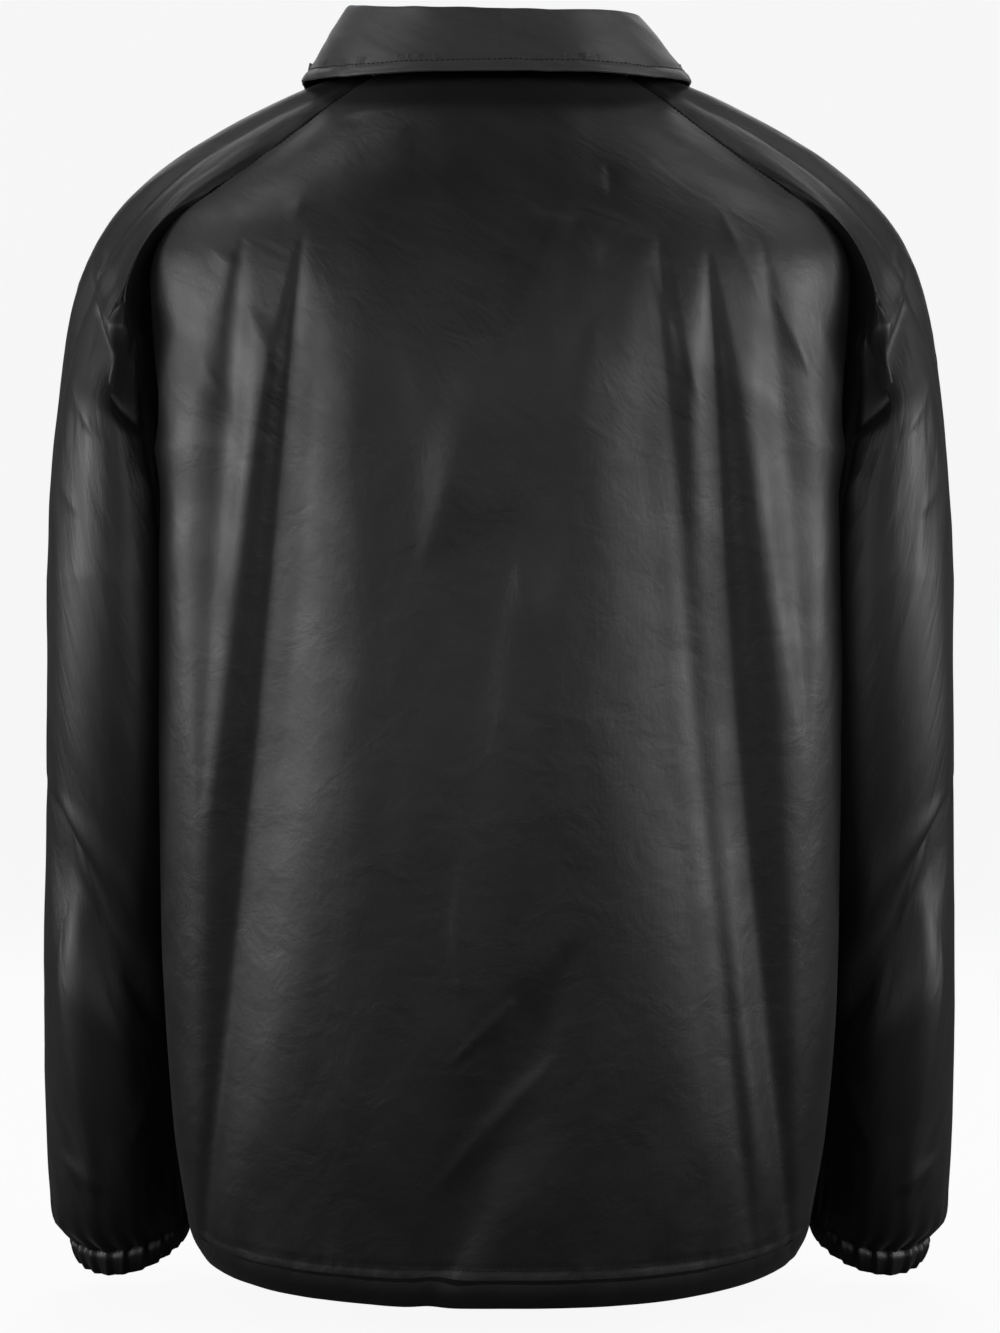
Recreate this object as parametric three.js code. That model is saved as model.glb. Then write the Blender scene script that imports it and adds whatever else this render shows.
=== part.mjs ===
// Coach jacket in a light coated cloth, filled out as worn, with the front snapped shut.
// Millimetres, +Z up, the front towards -Y. The origin is the middle of the neck opening,
// level with the shoulder's highest point beside the neck.
import * as THREE from 'three';

// Driving sizes
const CLOTH = 1.5; // wall of the body and sleeve cloth
const COLLAR_CLOTH = 2.2; // wall of the collar, two layers and a stiffener
const CUFF_CLOTH = 2; // wall of the cuff, cloth folded round an elastic
const SEAM_INSET = 0.2; // each sewn piece stops this far from the seam line
const WEARER_LEFT = 1; // sign of x on the wearer's left
const WEARER_RIGHT = -1;

// Number of cells along the panels
const CASING_ROWS = 3; // hem edge to casing stitch
const TORSO_ROWS = 19; // hem edge to underarm
const YOKE_ROWS = 12; // underarm to neck, along the raglan seam
const BACK_COLUMNS = 28;
const FRONT_COLUMNS = 11; // side seam to the start of the overlap
const OVERLAP_COLUMNS = 3; // start, middle and edge of the overlap
const NECK_COLUMNS = 2; // each half of a sleeve's own stretch of neckline
const HEAD_ROWS = 14; // raglan seam to upper arm
const ARM_ROWS = 12; // upper arm to cuff

// Body below the underarm. side is the side seam's x, dent how far the arm presses the side in,
// back and front the depth at the middle, and backDrop and frontDrop how far the middle hangs
// below the side.
const TORSO = [
  { z: -711, side: 184, dent: 4, back: 146, front: 140, backDrop: 22, frontDrop: 14 }, // hem edge
  { z: -701, side: 187.5, dent: 6, back: 150, front: 144, backDrop: 22.5, frontDrop: 14.5 },
  { z: -689, side: 188, dent: 10, back: 151, front: 145, backDrop: 21.5, frontDrop: 14 }, // stitch
  { z: -640, side: 189, dent: 20, back: 155, front: 148, backDrop: 15, frontDrop: 10 },
  { z: -560, side: 190, dent: 27, back: 157, front: 149, backDrop: 7, frontDrop: 5 },
  { z: -430, side: 189, dent: 32, back: 157, front: 147, backDrop: 0, frontDrop: 0 }, // waist
  { z: -300, side: 188, dent: 34, back: 154, front: 143, backDrop: 0, frontDrop: 0 },
  { z: -262, side: 190.5, dent: 30, back: 153, front: 142, backDrop: 0, frontDrop: 0 },
  { z: -233, side: 203, dent: 19, back: 152, front: 141, backDrop: 0, frontDrop: 0 }, // underarm
];
const UNDERARM_Z = -233;
const CASING_TOP_Z = -689;
const HEM_Z = -711;
const DROP_POWER = 1.4; // above 1 keeps the drop nearer the middle
const CASING_GROOVE = 1.2; // depth of the casing's stitch line
const DENT_SPREAD = 52; // how far from the side seam the arm's dent reaches, along Y
const SQUARENESS = 2.5; // exponent of the body's rounded section
const YOKE_FLATTENING = 38; // degrees of the section lost on each side on the way to the neck
const YOKE_FLAT_AT = 0.8; // share of that way at which it has lost them
const YOKE_DENT_END = 0.45; // share of that way at which the arm's dent has run out

// Raglan seams on the wearer's left, from the underarm to the neckline
const RAGLAN_BACK = [
  { x: 203, y: 0, z: -233 },
  { x: 208.5, y: 28, z: -200 },
  { x: 210.5, y: 50, z: -158 },
  { x: 209, y: 61, z: -118 },
  { x: 193, y: 69, z: -95 },
  { x: 172, y: 70, z: -79 },
  { x: 147, y: 65, z: -60 },
  { x: 120, y: 54, z: -38 },
  { x: 97, y: 42, z: -18 },
  { x: 77, y: 31, z: -3 },
];
const RAGLAN_FRONT = [
  { x: 203, y: 0, z: -233 },
  { x: 206, y: -28, z: -202 },
  { x: 204, y: -50, z: -163 },
  { x: 196, y: -64, z: -128 },
  { x: 178, y: -74, z: -104 },
  { x: 155, y: -78, z: -86 },
  { x: 130, y: -78, z: -68 },
  { x: 106, y: -73, z: -50 },
  { x: 87, y: -65, z: -36 },
  { x: 71, y: -57, z: -25 },
];
// Middle of the back and of the front above the underarm
const CENTRE_BACK = [
  { x: 0, y: 152, z: -233 },
  { x: 0, y: 149, z: -170 },
  { x: 0, y: 138, z: -105 },
  { x: 0, y: 116, z: -52 },
  { x: 0, y: 77, z: -6 },
];
const CENTRE_FRONT = [
  { x: 0, y: -141, z: -233 },
  { x: 0, y: -138, z: -185 },
  { x: 0, y: -127, z: -135 },
  { x: 0, y: -108, z: -93 },
  { x: 0, y: -86, z: -62 },
];
// Sleeve's own stretch of neckline, from the back raglan seam to the front one
const SLEEVE_NECK = [
  { x: 77, y: 31, z: -3 },
  { x: 86, y: 12, z: 5.5 },
  { x: 88, y: -10, z: 7 },
  { x: 83, y: -34, z: -6 },
  { x: 71, y: -57, z: -25 },
];
const OVERARM_AT = 0.45; // where the overarm seam meets that stretch

// How the cloth leaves the raglan seam, at steps from the underarm (0) to the overarm seam (1):
// its first run outwards, away from the body's middle and down, and its last run down to the arm.
const HEAD = [
  { at: 0, out: 55, away: 0, down: 8, fall: 75 },
  { at: 0.12, out: 35, away: 15, down: 55, fall: 80 },
  { at: 0.25, out: 45, away: 60, down: 80, fall: 130 },
  { at: 0.36, out: 80, away: 52, down: 80, fall: 180 },
  { at: 0.44, out: 150, away: 42, down: 55, fall: 230 },
  { at: 0.52, out: 215, away: 28, down: 55, fall: 280 },
  { at: 0.65, out: 330, away: 8, down: 90, fall: 360 },
  { at: 0.8, out: 465, away: 0, down: 175, fall: 510 },
  { at: 1, out: 575, away: 0, down: 240, fall: 645 },
];
const ARRIVE_OUT = 30; // how far the head's outer side still widens as it meets the arm
// Sleeve below the head. x and y are the section's middle, wide and deep its half sizes, tilt how
// far the outer side hangs below the middle, and lean the same for the side towards the back.
const ARM = [
  { z: -310, x: 239.5, y: -4, wide: 40, deep: 84, tilt: 0, lean: 0 }, // upper arm
  { z: -380, x: 239.5, y: -5, wide: 40, deep: 80, tilt: 0, lean: 0 },
  { z: -480, x: 240, y: -9, wide: 41, deep: 75, tilt: 0, lean: 0 }, // elbow
  { z: -580, x: 241, y: -15, wide: 42, deep: 69, tilt: 0, lean: 0 },
  { z: -640, x: 240.5, y: -19, wide: 42, deep: 65, tilt: 0, lean: 1 },
  { z: -684, x: 239.5, y: -22, wide: 41, deep: 59, tilt: 2, lean: 4 },
  { z: -703, x: 237.5, y: -23.5, wide: 40.5, deep: 52, tilt: 4, lean: 7 },
  { z: -713, x: 231.5, y: -24, wide: 35.5, deep: 42, tilt: 5, lean: 9 }, // cuff seam
];
const UPPER_ARM_Z = -310;
const CUFF_SEAM_Z = -713;
const ARM_SQUARENESS = 2.15;

// Cuff: sections of the elastic band, and its gathers
const CUFF = [
  { drop: 0.5, grow: 0 },
  { drop: 7, grow: -0.5 },
  { drop: 15.5, grow: -4 },
];
const CUFF_GATHERS = 20;
const CUFF_GATHER_DEPTH = 1.3;
const CUFF_STEPS_PER_GATHER = 2;

// Main folds, seen square to the back or the front: a curve by way of a middle point, in x and z,
// its half width and its height, negative for a trough.
const BACK_FOLDS = [
  { x0: 118, z0: -140, x1: 148, z1: -290, x2: 176, z2: -470, wide: 17, high: -11.2 },
  { x0: 104, z0: -110, x1: 112, z1: -330, x2: 104, z2: -620, wide: 22, high: 8.8 },
  { x0: 152, z0: -130, x1: 180, z1: -210, x2: 188, z2: -320, wide: 15, high: -6.2 },
  { x0: -82, z0: -150, x1: -92, z1: -350, x2: -94, z2: -640, wide: 20, high: 8.8 },
  { x0: -100, z0: -170, x1: -126, z1: -330, x2: -134, z2: -560, wide: 17, high: -10 },
  { x0: -134, z0: -150, x1: -152, z1: -330, x2: -158, z2: -560, wide: 15, high: 7.5 },
  { x0: -140, z0: -105, x1: -174, z1: -260, x2: -182, z2: -500, wide: 16, high: -7.5 },
  { x0: -43, z0: -106, x1: 0, z1: -190, x2: 35, z2: -267, wide: 24, high: 5 },
  { x0: 62, z0: -190, x1: 64, z1: -330, x2: 52, z2: -470, wide: 26, high: -6.2 },
  { x0: -14, z0: -260, x1: 8, z1: -400, x2: -6, z2: -560, wide: 24, high: 5 },
  { x0: -35, z0: -575, x1: 6, z1: -620, x2: 44, z2: -690, wide: 18, high: -6.2 },
  { x0: 60, z0: -560, x1: 84, z1: -620, x2: 92, z2: -690, wide: 20, high: -5 },
  { x0: -62, z0: -520, x1: -66, z1: -610, x2: -62, z2: -690, wide: 18, high: -6.2 },
];
const FRONT_FOLDS = [
  { x0: 110, z0: -120, x1: 132, z1: -330, x2: 142, z2: -640, wide: 20, high: -10 },
  { x0: -112, z0: -120, x1: -126, z1: -330, x2: -148, z2: -650, wide: 20, high: -10 },
  { x0: 76, z0: -150, x1: 92, z1: -400, x2: 88, z2: -680, wide: 22, high: 7.5 },
  { x0: -72, z0: -160, x1: -88, z1: -390, x2: -92, z2: -680, wide: 22, high: 7.5 },
  { x0: 165, z0: -170, x1: 168, z1: -350, x2: 170, z2: -560, wide: 18, high: 6.2 },
  { x0: -162, z0: -150, x1: -170, z1: -370, x2: -172, z2: -600, wide: 18, high: 6.2 },
];
// The folds of a sleeve, given on the wearer's left, with their height on the back and the front
const SLEEVE_FOLDS = [
  { x0: 258, z0: -152, x1: 240, z1: -200, x2: 210, z2: -228, wide: 13, back: -11.2, front: -8.8 },
  { x0: 252, z0: -118, x1: 240, z1: -160, x2: 216, z2: -196, wide: 13, back: 6.2, front: 5 },
  { x0: 266, z0: -455, x1: 244, z1: -500, x2: 204, z2: -552, wide: 15, back: 7.5, front: 3.8 },
  { x0: 262, z0: -500, x1: 244, z1: -580, x2: 218, z2: -670, wide: 22, back: -12.5, front: -6.2 },
  { x0: 220, z0: -420, x1: 236, z1: -470, x2: 262, z2: -520, wide: 16, back: 0, front: -7.5 },
];
const FOLD_FADE = 0.14; // share of a panel's width, beside its seams, where its folds die out
const FOLD_TAPER = 0.14; // 0 would taper a fold to nothing at its ends, 0.5 not at all
const FOLD_CURVE_STEPS = 14;
const FOLDS_NONE_AT = 0.05; // folds die out where the cloth turns to the side: the normal's y there
const FOLDS_FULL_AT = 0.6;

// Front closing: how far each front passes the middle, and the snaps down the middle
const OVERLAP = 19;
const UNDERLAP_SINK = CLOTH + 0.5; // the under front lies this far in
const UNDERLAP_RAMP = 5; // width over which it steps in
const SNAPS_Z = [-86, -228, -370, -512, -654];
const SNAP_RADIUS = 6.5;
const SNAP_HEIGHT = 2.4;
const SNAP_CLEARANCE = 0.3;
const SNAP_SEGMENTS = 12;

// Collar, from the middle of the back to the end at the front: the fold line on top,
// and the free edge of the fall.
const COLLAR = [
  { at: 0, foldX: 0, foldY: 82, foldZ: 28.5, edgeX: 0, edgeY: 105, edgeZ: -12 },
  { at: 0.16, foldX: 42, foldY: 75, foldZ: 29.5, edgeX: 54, edgeY: 101, edgeZ: -12 },
  { at: 0.28, foldX: 68, foldY: 59, foldZ: 34, edgeX: 90, edgeY: 83, edgeZ: -11 },
  { at: 0.38, foldX: 84, foldY: 39, foldZ: 39, edgeX: 110, edgeY: 54, edgeZ: -7.5 },
  { at: 0.48, foldX: 92, foldY: 14, foldZ: 43, edgeX: 121, edgeY: 18, edgeZ: -3 },
  { at: 0.58, foldX: 91, foldY: -14, foldZ: 41, edgeX: 121, edgeY: -18, edgeZ: -3 },
  { at: 0.68, foldX: 83, foldY: -42, foldZ: 31, edgeX: 115, edgeY: -54, edgeZ: -16 },
  { at: 0.78, foldX: 66, foldY: -67, foldZ: 14, edgeX: 102, edgeY: -85, edgeZ: -38 },
  { at: 0.88, foldX: 41, foldY: -85, foldZ: -7, edgeX: 83, edgeY: -105, edgeZ: -63 },
  { at: 1, foldX: 6, foldY: -97, foldZ: -27, edgeX: 54, edgeY: -118, edgeZ: -88 },
];
const COLLAR_RIGHT_FOLD = 0.92; // the fold lies nearer the neck on the wearer's right
const COLLAR_RIGHT_EDGE = 0.965;
const COLLAR_RIGHT_SAG = 6; // and this much lower beside the neck
const COLLAR_SEAM_LIFT = 0.4; // the collar starts this far above the neckline
const COLLAR_END_GAP = 1.5; // half the gap between its two ends
const FOLD_RADIUS = 3.2; // the collar's turn-over
const FOLD_TURN = THREE.MathUtils.degToRad(153); // how far it turns over that radius
const FOLD_STEPS = 3;
const STAND_STEPS = 1;
const FALL_STEPS = 2;

const CLOTH_COLOUR = new THREE.Color(0.028, 0.028, 0.03);
// Half section of a cap: radius from its axis, height above the cloth
const SNAP_PROFILE = [
  [0, 0],
  [SNAP_RADIUS - 0.6, 0],
  [SNAP_RADIUS, 0.6],
  [SNAP_RADIUS - 0.4, 1.5],
  [SNAP_RADIUS - 2, SNAP_HEIGHT - 0.2],
  [0, SNAP_HEIGHT],
];
const SNAP_COLOUR = new THREE.Color(0.02, 0.02, 0.022);

const vector = (p) => new THREE.Vector3(p.x, p.y, p.z);
const mirrored = (p, sign) => new THREE.Vector3(sign * p.x, p.y, p.z);

// A smooth value of one column of a table, read at a place in its key column
function readTable(table, key, column, value) {
  const last = table.length - 1;
  const rising = table[last][key] > table[0][key];
  let i = 0;
  while (i < last - 1 && (rising ? value > table[i + 1][key] : value < table[i + 1][key])) i += 1;
  const slope = (k) => {
    const a = Math.max(k - 1, 0);
    const b = Math.min(k + 1, last);
    return (table[b][column] - table[a][column]) / (table[b][key] - table[a][key]);
  };
  const span = table[i + 1][key] - table[i][key];
  const t = THREE.MathUtils.clamp((value - table[i][key]) / span, 0, 1);
  const t2 = t * t;
  const t3 = t2 * t;
  return (2 * t3 - 3 * t2 + 1) * table[i][column] + (t3 - 2 * t2 + t) * span * slope(i)
    + (3 * t2 - 2 * t3) * table[i + 1][column] + (t3 - t2) * span * slope(i + 1);
}

// A smooth curve through a table of points, read at a share of its length
function curveThrough(points) {
  let length = 0;
  const measured = points.map((p, i) => {
    if (i > 0) length += vector(p).distanceTo(vector(points[i - 1]));
    return { at: length, ...p };
  });
  return (share) => new THREE.Vector3(
    readTable(measured, 'at', 'x', share * length),
    readTable(measured, 'at', 'y', share * length),
    readTable(measured, 'at', 'z', share * length),
  );
}

const raglanBack = curveThrough(RAGLAN_BACK);
const raglanFront = curveThrough(RAGLAN_FRONT);
const centreBack = curveThrough(CENTRE_BACK);
const centreFront = curveThrough(CENTRE_FRONT);
const sleeveNeck = curveThrough(SLEEVE_NECK);

// Rounded-square radius at an angle, so that the section is between an ellipse and a box
function roundedRadius(angle, squareness) {
  const c = Math.abs(Math.cos(angle)) ** squareness;
  const s = Math.abs(Math.sin(angle)) ** squareness;
  return (c + s) ** (-1 / squareness);
}

// One level of the body on the back (facing 1) or the front (facing -1): how its cloth runs
// from one side to the other. row counts from the hem.
function bodyLevel(row, facing) {
  if (row <= TORSO_ROWS) {
    const z = levelHeight(row);
    const read = (column) => readTable(TORSO, 'z', column, z);
    const depth = facing > 0 ? read('back') : -read('front');
    return {
      end: new THREE.Vector3(read('side'), 0, z),
      middle: new THREE.Vector3(0, depth, z - read(facing > 0 ? 'backDrop' : 'frontDrop')),
      dent: read('dent'),
      sweep: Math.PI / 2,
      dropPower: DROP_POWER,
    };
  }
  const share = (row - TORSO_ROWS) / YOKE_ROWS;
  const dentAtUnderarm = TORSO[TORSO.length - 1].dent;
  return {
    end: facing > 0 ? raglanBack(share) : raglanFront(share),
    middle: facing > 0 ? centreBack(share) : centreFront(share),
    dent: dentAtUnderarm * Math.max(0, 1 - share / YOKE_DENT_END) ** 2,
    sweep: THREE.MathUtils.degToRad(90 - YOKE_FLATTENING * Math.min(1, share / YOKE_FLAT_AT)),
    dropPower: 1,
  };
}

// Height of the side seam at a row counted from the hem edge
function levelHeight(row) {
  if (row <= CASING_ROWS) return HEM_Z + (CASING_TOP_Z - HEM_Z) * (row / CASING_ROWS);
  const share = (row - CASING_ROWS) / (TORSO_ROWS - CASING_ROWS);
  return CASING_TOP_Z + (UNDERARM_Z - CASING_TOP_Z) * share;
}

// A point of a level, u from -1 on the wearer's right to 1 on the left
function bodyPoint(level, u) {
  const { end, middle, dent, sweep, dropPower } = level;
  const angle = u * sweep;
  const r = roundedRadius(angle, SQUARENESS);
  const endR = roundedRadius(sweep, SQUARENESS);
  const across = (r * Math.sin(Math.abs(angle))) / (endR * Math.sin(sweep));
  const endDeep = endR * Math.cos(sweep);
  const deep = (r * Math.cos(angle) - endDeep) / (1 - endDeep);
  const y = end.y + (middle.y - end.y) * deep;
  const pressed = dent * Math.exp(-(((y - end.y) / DENT_SPREAD) ** 2));
  const x = Math.sign(u) * ((end.x + dent) * across - pressed * across);
  return new THREE.Vector3(x, y, end.z + (middle.z - end.z) * deep ** dropPower);
}

// The u at which a level reaches a given x near its middle
function levelShareAt(level, x) {
  let low = 0;
  let high = 1;
  const halvings = 40;
  for (let i = 0; i < halvings; i += 1) {
    const u = (low + high) / 2;
    if (bodyPoint(level, u).x < Math.abs(x)) low = u;
    else high = u;
  }
  return Math.sign(x) * low;
}

const lastRow = TORSO_ROWS + YOKE_ROWS;
const grid = (rows, columns, at) => Array.from({ length: rows + 1 }, (_, r) => (
  Array.from({ length: columns + 1 }, (_, c) => at(r, c))));

function backGrid() {
  return grid(lastRow, BACK_COLUMNS, (r, c) => (
    bodyPoint(bodyLevel(r, 1), -1 + (2 * c) / BACK_COLUMNS)));
}

// A front, from its side seam to its edge past the middle. Its last columns are the overlap.
function frontGrid(side) {
  const rampWidth = side === WEARER_RIGHT ? UNDERLAP_RAMP : 1;
  return grid(lastRow, FRONT_COLUMNS + OVERLAP_COLUMNS, (r, c) => {
    const level = bodyLevel(r, -1);
    const shareAt = (x) => levelShareAt(level, x);
    if (c <= FRONT_COLUMNS) {
      const start = shareAt(OVERLAP + rampWidth);
      return bodyPoint(level, side * (1 - (1 - start) * (c / FRONT_COLUMNS)));
    }
    const x = OVERLAP * (1 - (c - FRONT_COLUMNS - 1));
    return bodyPoint(level, side * shareAt(x));
  });
}

// A point of the sleeve below its head. around runs from the inner side (0) by the back or the
// front to the outer side (1).
function armPoint(z, around, facing) {
  const read = (column) => readTable(ARM, 'z', column, z);
  const angle = around * Math.PI;
  const r = roundedRadius(angle, ARM_SQUARENESS);
  const out = -r * Math.cos(angle);
  const away = r * Math.sin(angle);
  return new THREE.Vector3(
    read('x') + read('wide') * out,
    read('y') + facing * read('deep') * away,
    z - read('tilt') * out - read('lean') * facing * away ** 2,
  );
}

// A point on the edge of the sleeve's head: up the raglan seam and then along the neckline
function headEdge(column, facing) {
  if (column <= YOKE_ROWS) {
    const share = column / YOKE_ROWS;
    return facing > 0 ? raglanBack(share) : raglanFront(share);
  }
  const share = (column - YOKE_ROWS) / NECK_COLUMNS;
  return sleeveNeck(facing > 0 ? OVERARM_AT * share : 1 - (1 - OVERARM_AT) * share);
}

function hermite(start, leave, end, arrive, t) {
  const t2 = t * t;
  const t3 = t2 * t;
  return new THREE.Vector3()
    .addScaledVector(start, 2 * t3 - 3 * t2 + 1)
    .addScaledVector(leave, t3 - 2 * t2 + t)
    .addScaledVector(end, 3 * t2 - 2 * t3)
    .addScaledVector(arrive, t3 - t2);
}

function sleeveGrid(side, facing) {
  const columns = YOKE_ROWS + NECK_COLUMNS;
  return grid(HEAD_ROWS + ARM_ROWS, columns, (r, c) => {
    const around = c / columns;
    const read = (column) => readTable(HEAD, 'at', column, around);
    if (r <= HEAD_ROWS) {
      const leave = new THREE.Vector3(read('out'), facing * read('away'), -read('down'));
      const arrive = new THREE.Vector3(ARRIVE_OUT * around, 0, -read('fall'));
      const end = armPoint(UPPER_ARM_Z, around, facing);
      return mirrored(hermite(headEdge(c, facing), leave, end, arrive, r / HEAD_ROWS), side);
    }
    const share = (r - HEAD_ROWS) / ARM_ROWS;
    const z = UPPER_ARM_Z + (CUFF_SEAM_Z - UPPER_ARM_Z) * share;
    return mirrored(armPoint(z, around, facing), side);
  });
}

// How far a fold moves a point, by its distance from the fold's curve
function foldAt(fold, high, x, z) {
  let nearest = Infinity;
  let share = 0;
  for (let i = 0; i <= FOLD_CURVE_STEPS; i += 1) {
    const t = i / FOLD_CURVE_STEPS;
    const lineX = (1 - t) ** 2 * fold.x0 + 2 * t * (1 - t) * fold.x1 + t * t * fold.x2;
    const lineZ = (1 - t) ** 2 * fold.z0 + 2 * t * (1 - t) * fold.z1 + t * t * fold.z2;
    const distance = Math.hypot(x - lineX, z - lineZ);
    if (distance < nearest) {
      nearest = distance;
      share = t;
    }
  }
  const along = Math.sin(Math.PI * (FOLD_TAPER + (1 - 2 * FOLD_TAPER) * share));
  return high * along * Math.exp(-((nearest / fold.wide) ** 2));
}

const sum = (values) => values.reduce((total, value) => total + value, 0);
const facingShare = (normal) => (
  THREE.MathUtils.smoothstep(Math.abs(normal.y), FOLDS_NONE_AT, FOLDS_FULL_AT));

// Body folds die out towards the side and raglan seams, so that the seams stay in place
function bodyFold(point, normal, u) {
  const folds = normal.y > 0 ? BACK_FOLDS : FRONT_FOLDS;
  const fade = THREE.MathUtils.smoothstep(1 - Math.abs(u), 0, FOLD_FADE);
  return fade * facingShare(normal) * sum(folds.map((f) => foldAt(f, f.high, point.x, point.z)));
}

function sleeveFold(point, normal, share) {
  const column = normal.y > 0 ? 'back' : 'front';
  const fade = THREE.MathUtils.smoothstep(share, 0, FOLD_FADE);
  const x = Math.abs(point.x);
  return fade * facingShare(normal) * sum(SLEEVE_FOLDS.map((f) => foldAt(f, f[column], x, point.z)));
}

const keyOf = (p) => `${p.x.toFixed(2)},${p.y.toFixed(2)},${p.z.toFixed(2)}`;

// Normals of panels that share their seam points, so that both sides of a seam lean alike
function sharedNormals(panels) {
  const sums = new Map();
  panels.forEach(({ points, flip }) => {
    for (let r = 0; r < points.length - 1; r += 1) {
      for (let c = 0; c < points[0].length - 1; c += 1) {
        const corners = [points[r][c], points[r][c + 1], points[r + 1][c + 1], points[r + 1][c]];
        const diagonalA = corners[2].clone().sub(corners[0]);
        const diagonalB = corners[3].clone().sub(corners[1]);
        const normal = diagonalA.cross(diagonalB).multiplyScalar(flip ? -1 : 1);
        corners.forEach((p) => {
          const key = keyOf(p);
          if (!sums.has(key)) sums.set(key, new THREE.Vector3());
          sums.get(key).add(normal);
        });
      }
    }
  });
  return (p) => sums.get(keyOf(p)).clone().normalize();
}

// Direction in the cloth, square to one edge of the grid and away from it
function inwards(points, normals, r, c, stepR, stepC) {
  const rows = points.length - 1;
  const columns = points[0].length - 1;
  const alongR = stepC === 0 ? 0 : 1;
  const alongC = 1 - alongR;
  const before = points[Math.max(r - alongR, 0)][Math.max(c - alongC, 0)];
  const after = points[Math.min(r + alongR, rows)][Math.min(c + alongC, columns)];
  const tangent = after.clone().sub(before);
  const direction = tangent.cross(normals[r][c]).normalize();
  const inner = points[r + stepR][c + stepC].clone().sub(points[r][c]);
  return direction.multiplyScalar(direction.dot(inner) < 0 ? -1 : 1);
}

// Outer points of a panel drawn back from its sewn edges
function drawnBack(points, normals, seams) {
  const rows = points.length - 1;
  const columns = points[0].length - 1;
  return points.map((line, r) => line.map((p, c) => {
    const moved = p.clone();
    const edges = [
      [seams.first && r === 0, 1, 0],
      [seams.last && r === rows, -1, 0],
      [seams.start && c === 0, 0, 1],
      [seams.end && c === columns, 0, -1],
    ];
    edges.filter(([on]) => on).forEach(([, stepR, stepC]) => {
      moved.addScaledVector(inwards(points, normals, r, c, stepR, stepC), SEAM_INSET);
    });
    return moved;
  }));
}

// A closed wall from a grid of outer points, with its thickness on the side away from the normals
function wallGeometry(outer, normals, thickness, flip) {
  const rows = outer.length;
  const columns = outer[0].length;
  const last = columns - 1;
  const positions = [];
  const inner = outer.map((line, r) => line.map((p, c) => (
    p.clone().addScaledVector(normals[r][c], -thickness))));
  [outer, inner].forEach((layer) => layer.flat().forEach((p) => positions.push(p.x, p.y, p.z)));
  const index = [];
  const at = (layer, r, c) => layer * rows * columns + r * columns + c;
  const quad = (a, b, c, d) => {
    if (flip) index.push(a, c, b, a, d, c);
    else index.push(a, b, c, a, c, d);
  };
  for (let r = 0; r < rows - 1; r += 1) {
    for (let c = 0; c < last; c += 1) {
      quad(at(0, r, c), at(0, r, c + 1), at(0, r + 1, c + 1), at(0, r + 1, c));
      quad(at(1, r, c), at(1, r + 1, c), at(1, r + 1, c + 1), at(1, r, c + 1));
    }
  }
  for (let c = 0; c < last; c += 1) {
    quad(at(1, 0, c), at(1, 0, c + 1), at(0, 0, c + 1), at(0, 0, c));
    quad(at(0, rows - 1, c), at(0, rows - 1, c + 1), at(1, rows - 1, c + 1), at(1, rows - 1, c));
  }
  for (let r = 0; r < rows - 1; r += 1) {
    quad(at(0, r, 0), at(0, r + 1, 0), at(1, r + 1, 0), at(1, r, 0));
    quad(at(1, r, last), at(1, r + 1, last), at(0, r + 1, last), at(0, r, last));
  }
  const geometry = new THREE.BufferGeometry();
  geometry.setAttribute('position', new THREE.Float32BufferAttribute(positions, 3));
  geometry.setIndex(index);
  return geometry;
}

// A closed band from rings of outer points
function bandGeometry(rings, thickness) {
  const steps = rings[0].length;
  const wrapped = rings.map((ring) => [...ring, ring[0]]);
  const normalOf = sharedNormals([{ points: wrapped, flip: false }]);
  const positions = [];
  rings.forEach((ring) => ring.forEach((p) => positions.push(p.x, p.y, p.z)));
  rings.forEach((ring) => ring.forEach((p) => {
    const q = p.clone().addScaledVector(normalOf(p), -thickness);
    positions.push(q.x, q.y, q.z);
  }));
  const index = [];
  const at = (layer, r, c) => layer * rings.length * steps + r * steps + (c % steps);
  const quad = (a, b, c, d) => index.push(a, b, c, a, c, d);
  const last = rings.length - 1;
  for (let c = 0; c < steps; c += 1) {
    for (let r = 0; r < last; r += 1) {
      quad(at(0, r, c), at(0, r, c + 1), at(0, r + 1, c + 1), at(0, r + 1, c));
      quad(at(1, r, c), at(1, r + 1, c), at(1, r + 1, c + 1), at(1, r, c + 1));
    }
    quad(at(1, 0, c), at(1, 0, c + 1), at(0, 0, c + 1), at(0, 0, c));
    quad(at(0, last, c), at(0, last, c + 1), at(1, last, c + 1), at(1, last, c));
  }
  const geometry = new THREE.BufferGeometry();
  geometry.setAttribute('position', new THREE.Float32BufferAttribute(positions, 3));
  geometry.setIndex(index);
  return geometry;
}

const clothMaterial = () => new THREE.MeshStandardMaterial({
  color: CLOTH_COLOUR, roughness: 0.45, metalness: 0,
});

function namedMesh(name, geometry, material) {
  geometry.computeVertexNormals();
  const mesh = new THREE.Mesh(geometry, material);
  mesh.name = name;
  return mesh;
}

// Body and sleeve panels, before their folds
const bodySeams = { start: true, end: false, first: false, last: true };
const panels = [
  { name: 'back', points: backGrid(), flip: true, seams: { ...bodySeams, end: true } },
  { name: 'front_left', points: frontGrid(WEARER_LEFT), flip: true, seams: bodySeams },
  { name: 'front_right', points: frontGrid(WEARER_RIGHT), flip: false, seams: bodySeams },
];
[[WEARER_LEFT, 'left'], [WEARER_RIGHT, 'right']].forEach(([side, word]) => {
  [[1, 'back'], [-1, 'front']].forEach(([facing, half]) => {
    panels.push({
      name: `sleeve_${half}_${word}`,
      points: sleeveGrid(side, facing),
      flip: side * facing < 0,
      seams: { first: true, last: true, start: true, end: true },
    });
  });
});
const panelNamed = (name) => panels.find((panel) => panel.name === name);

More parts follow.
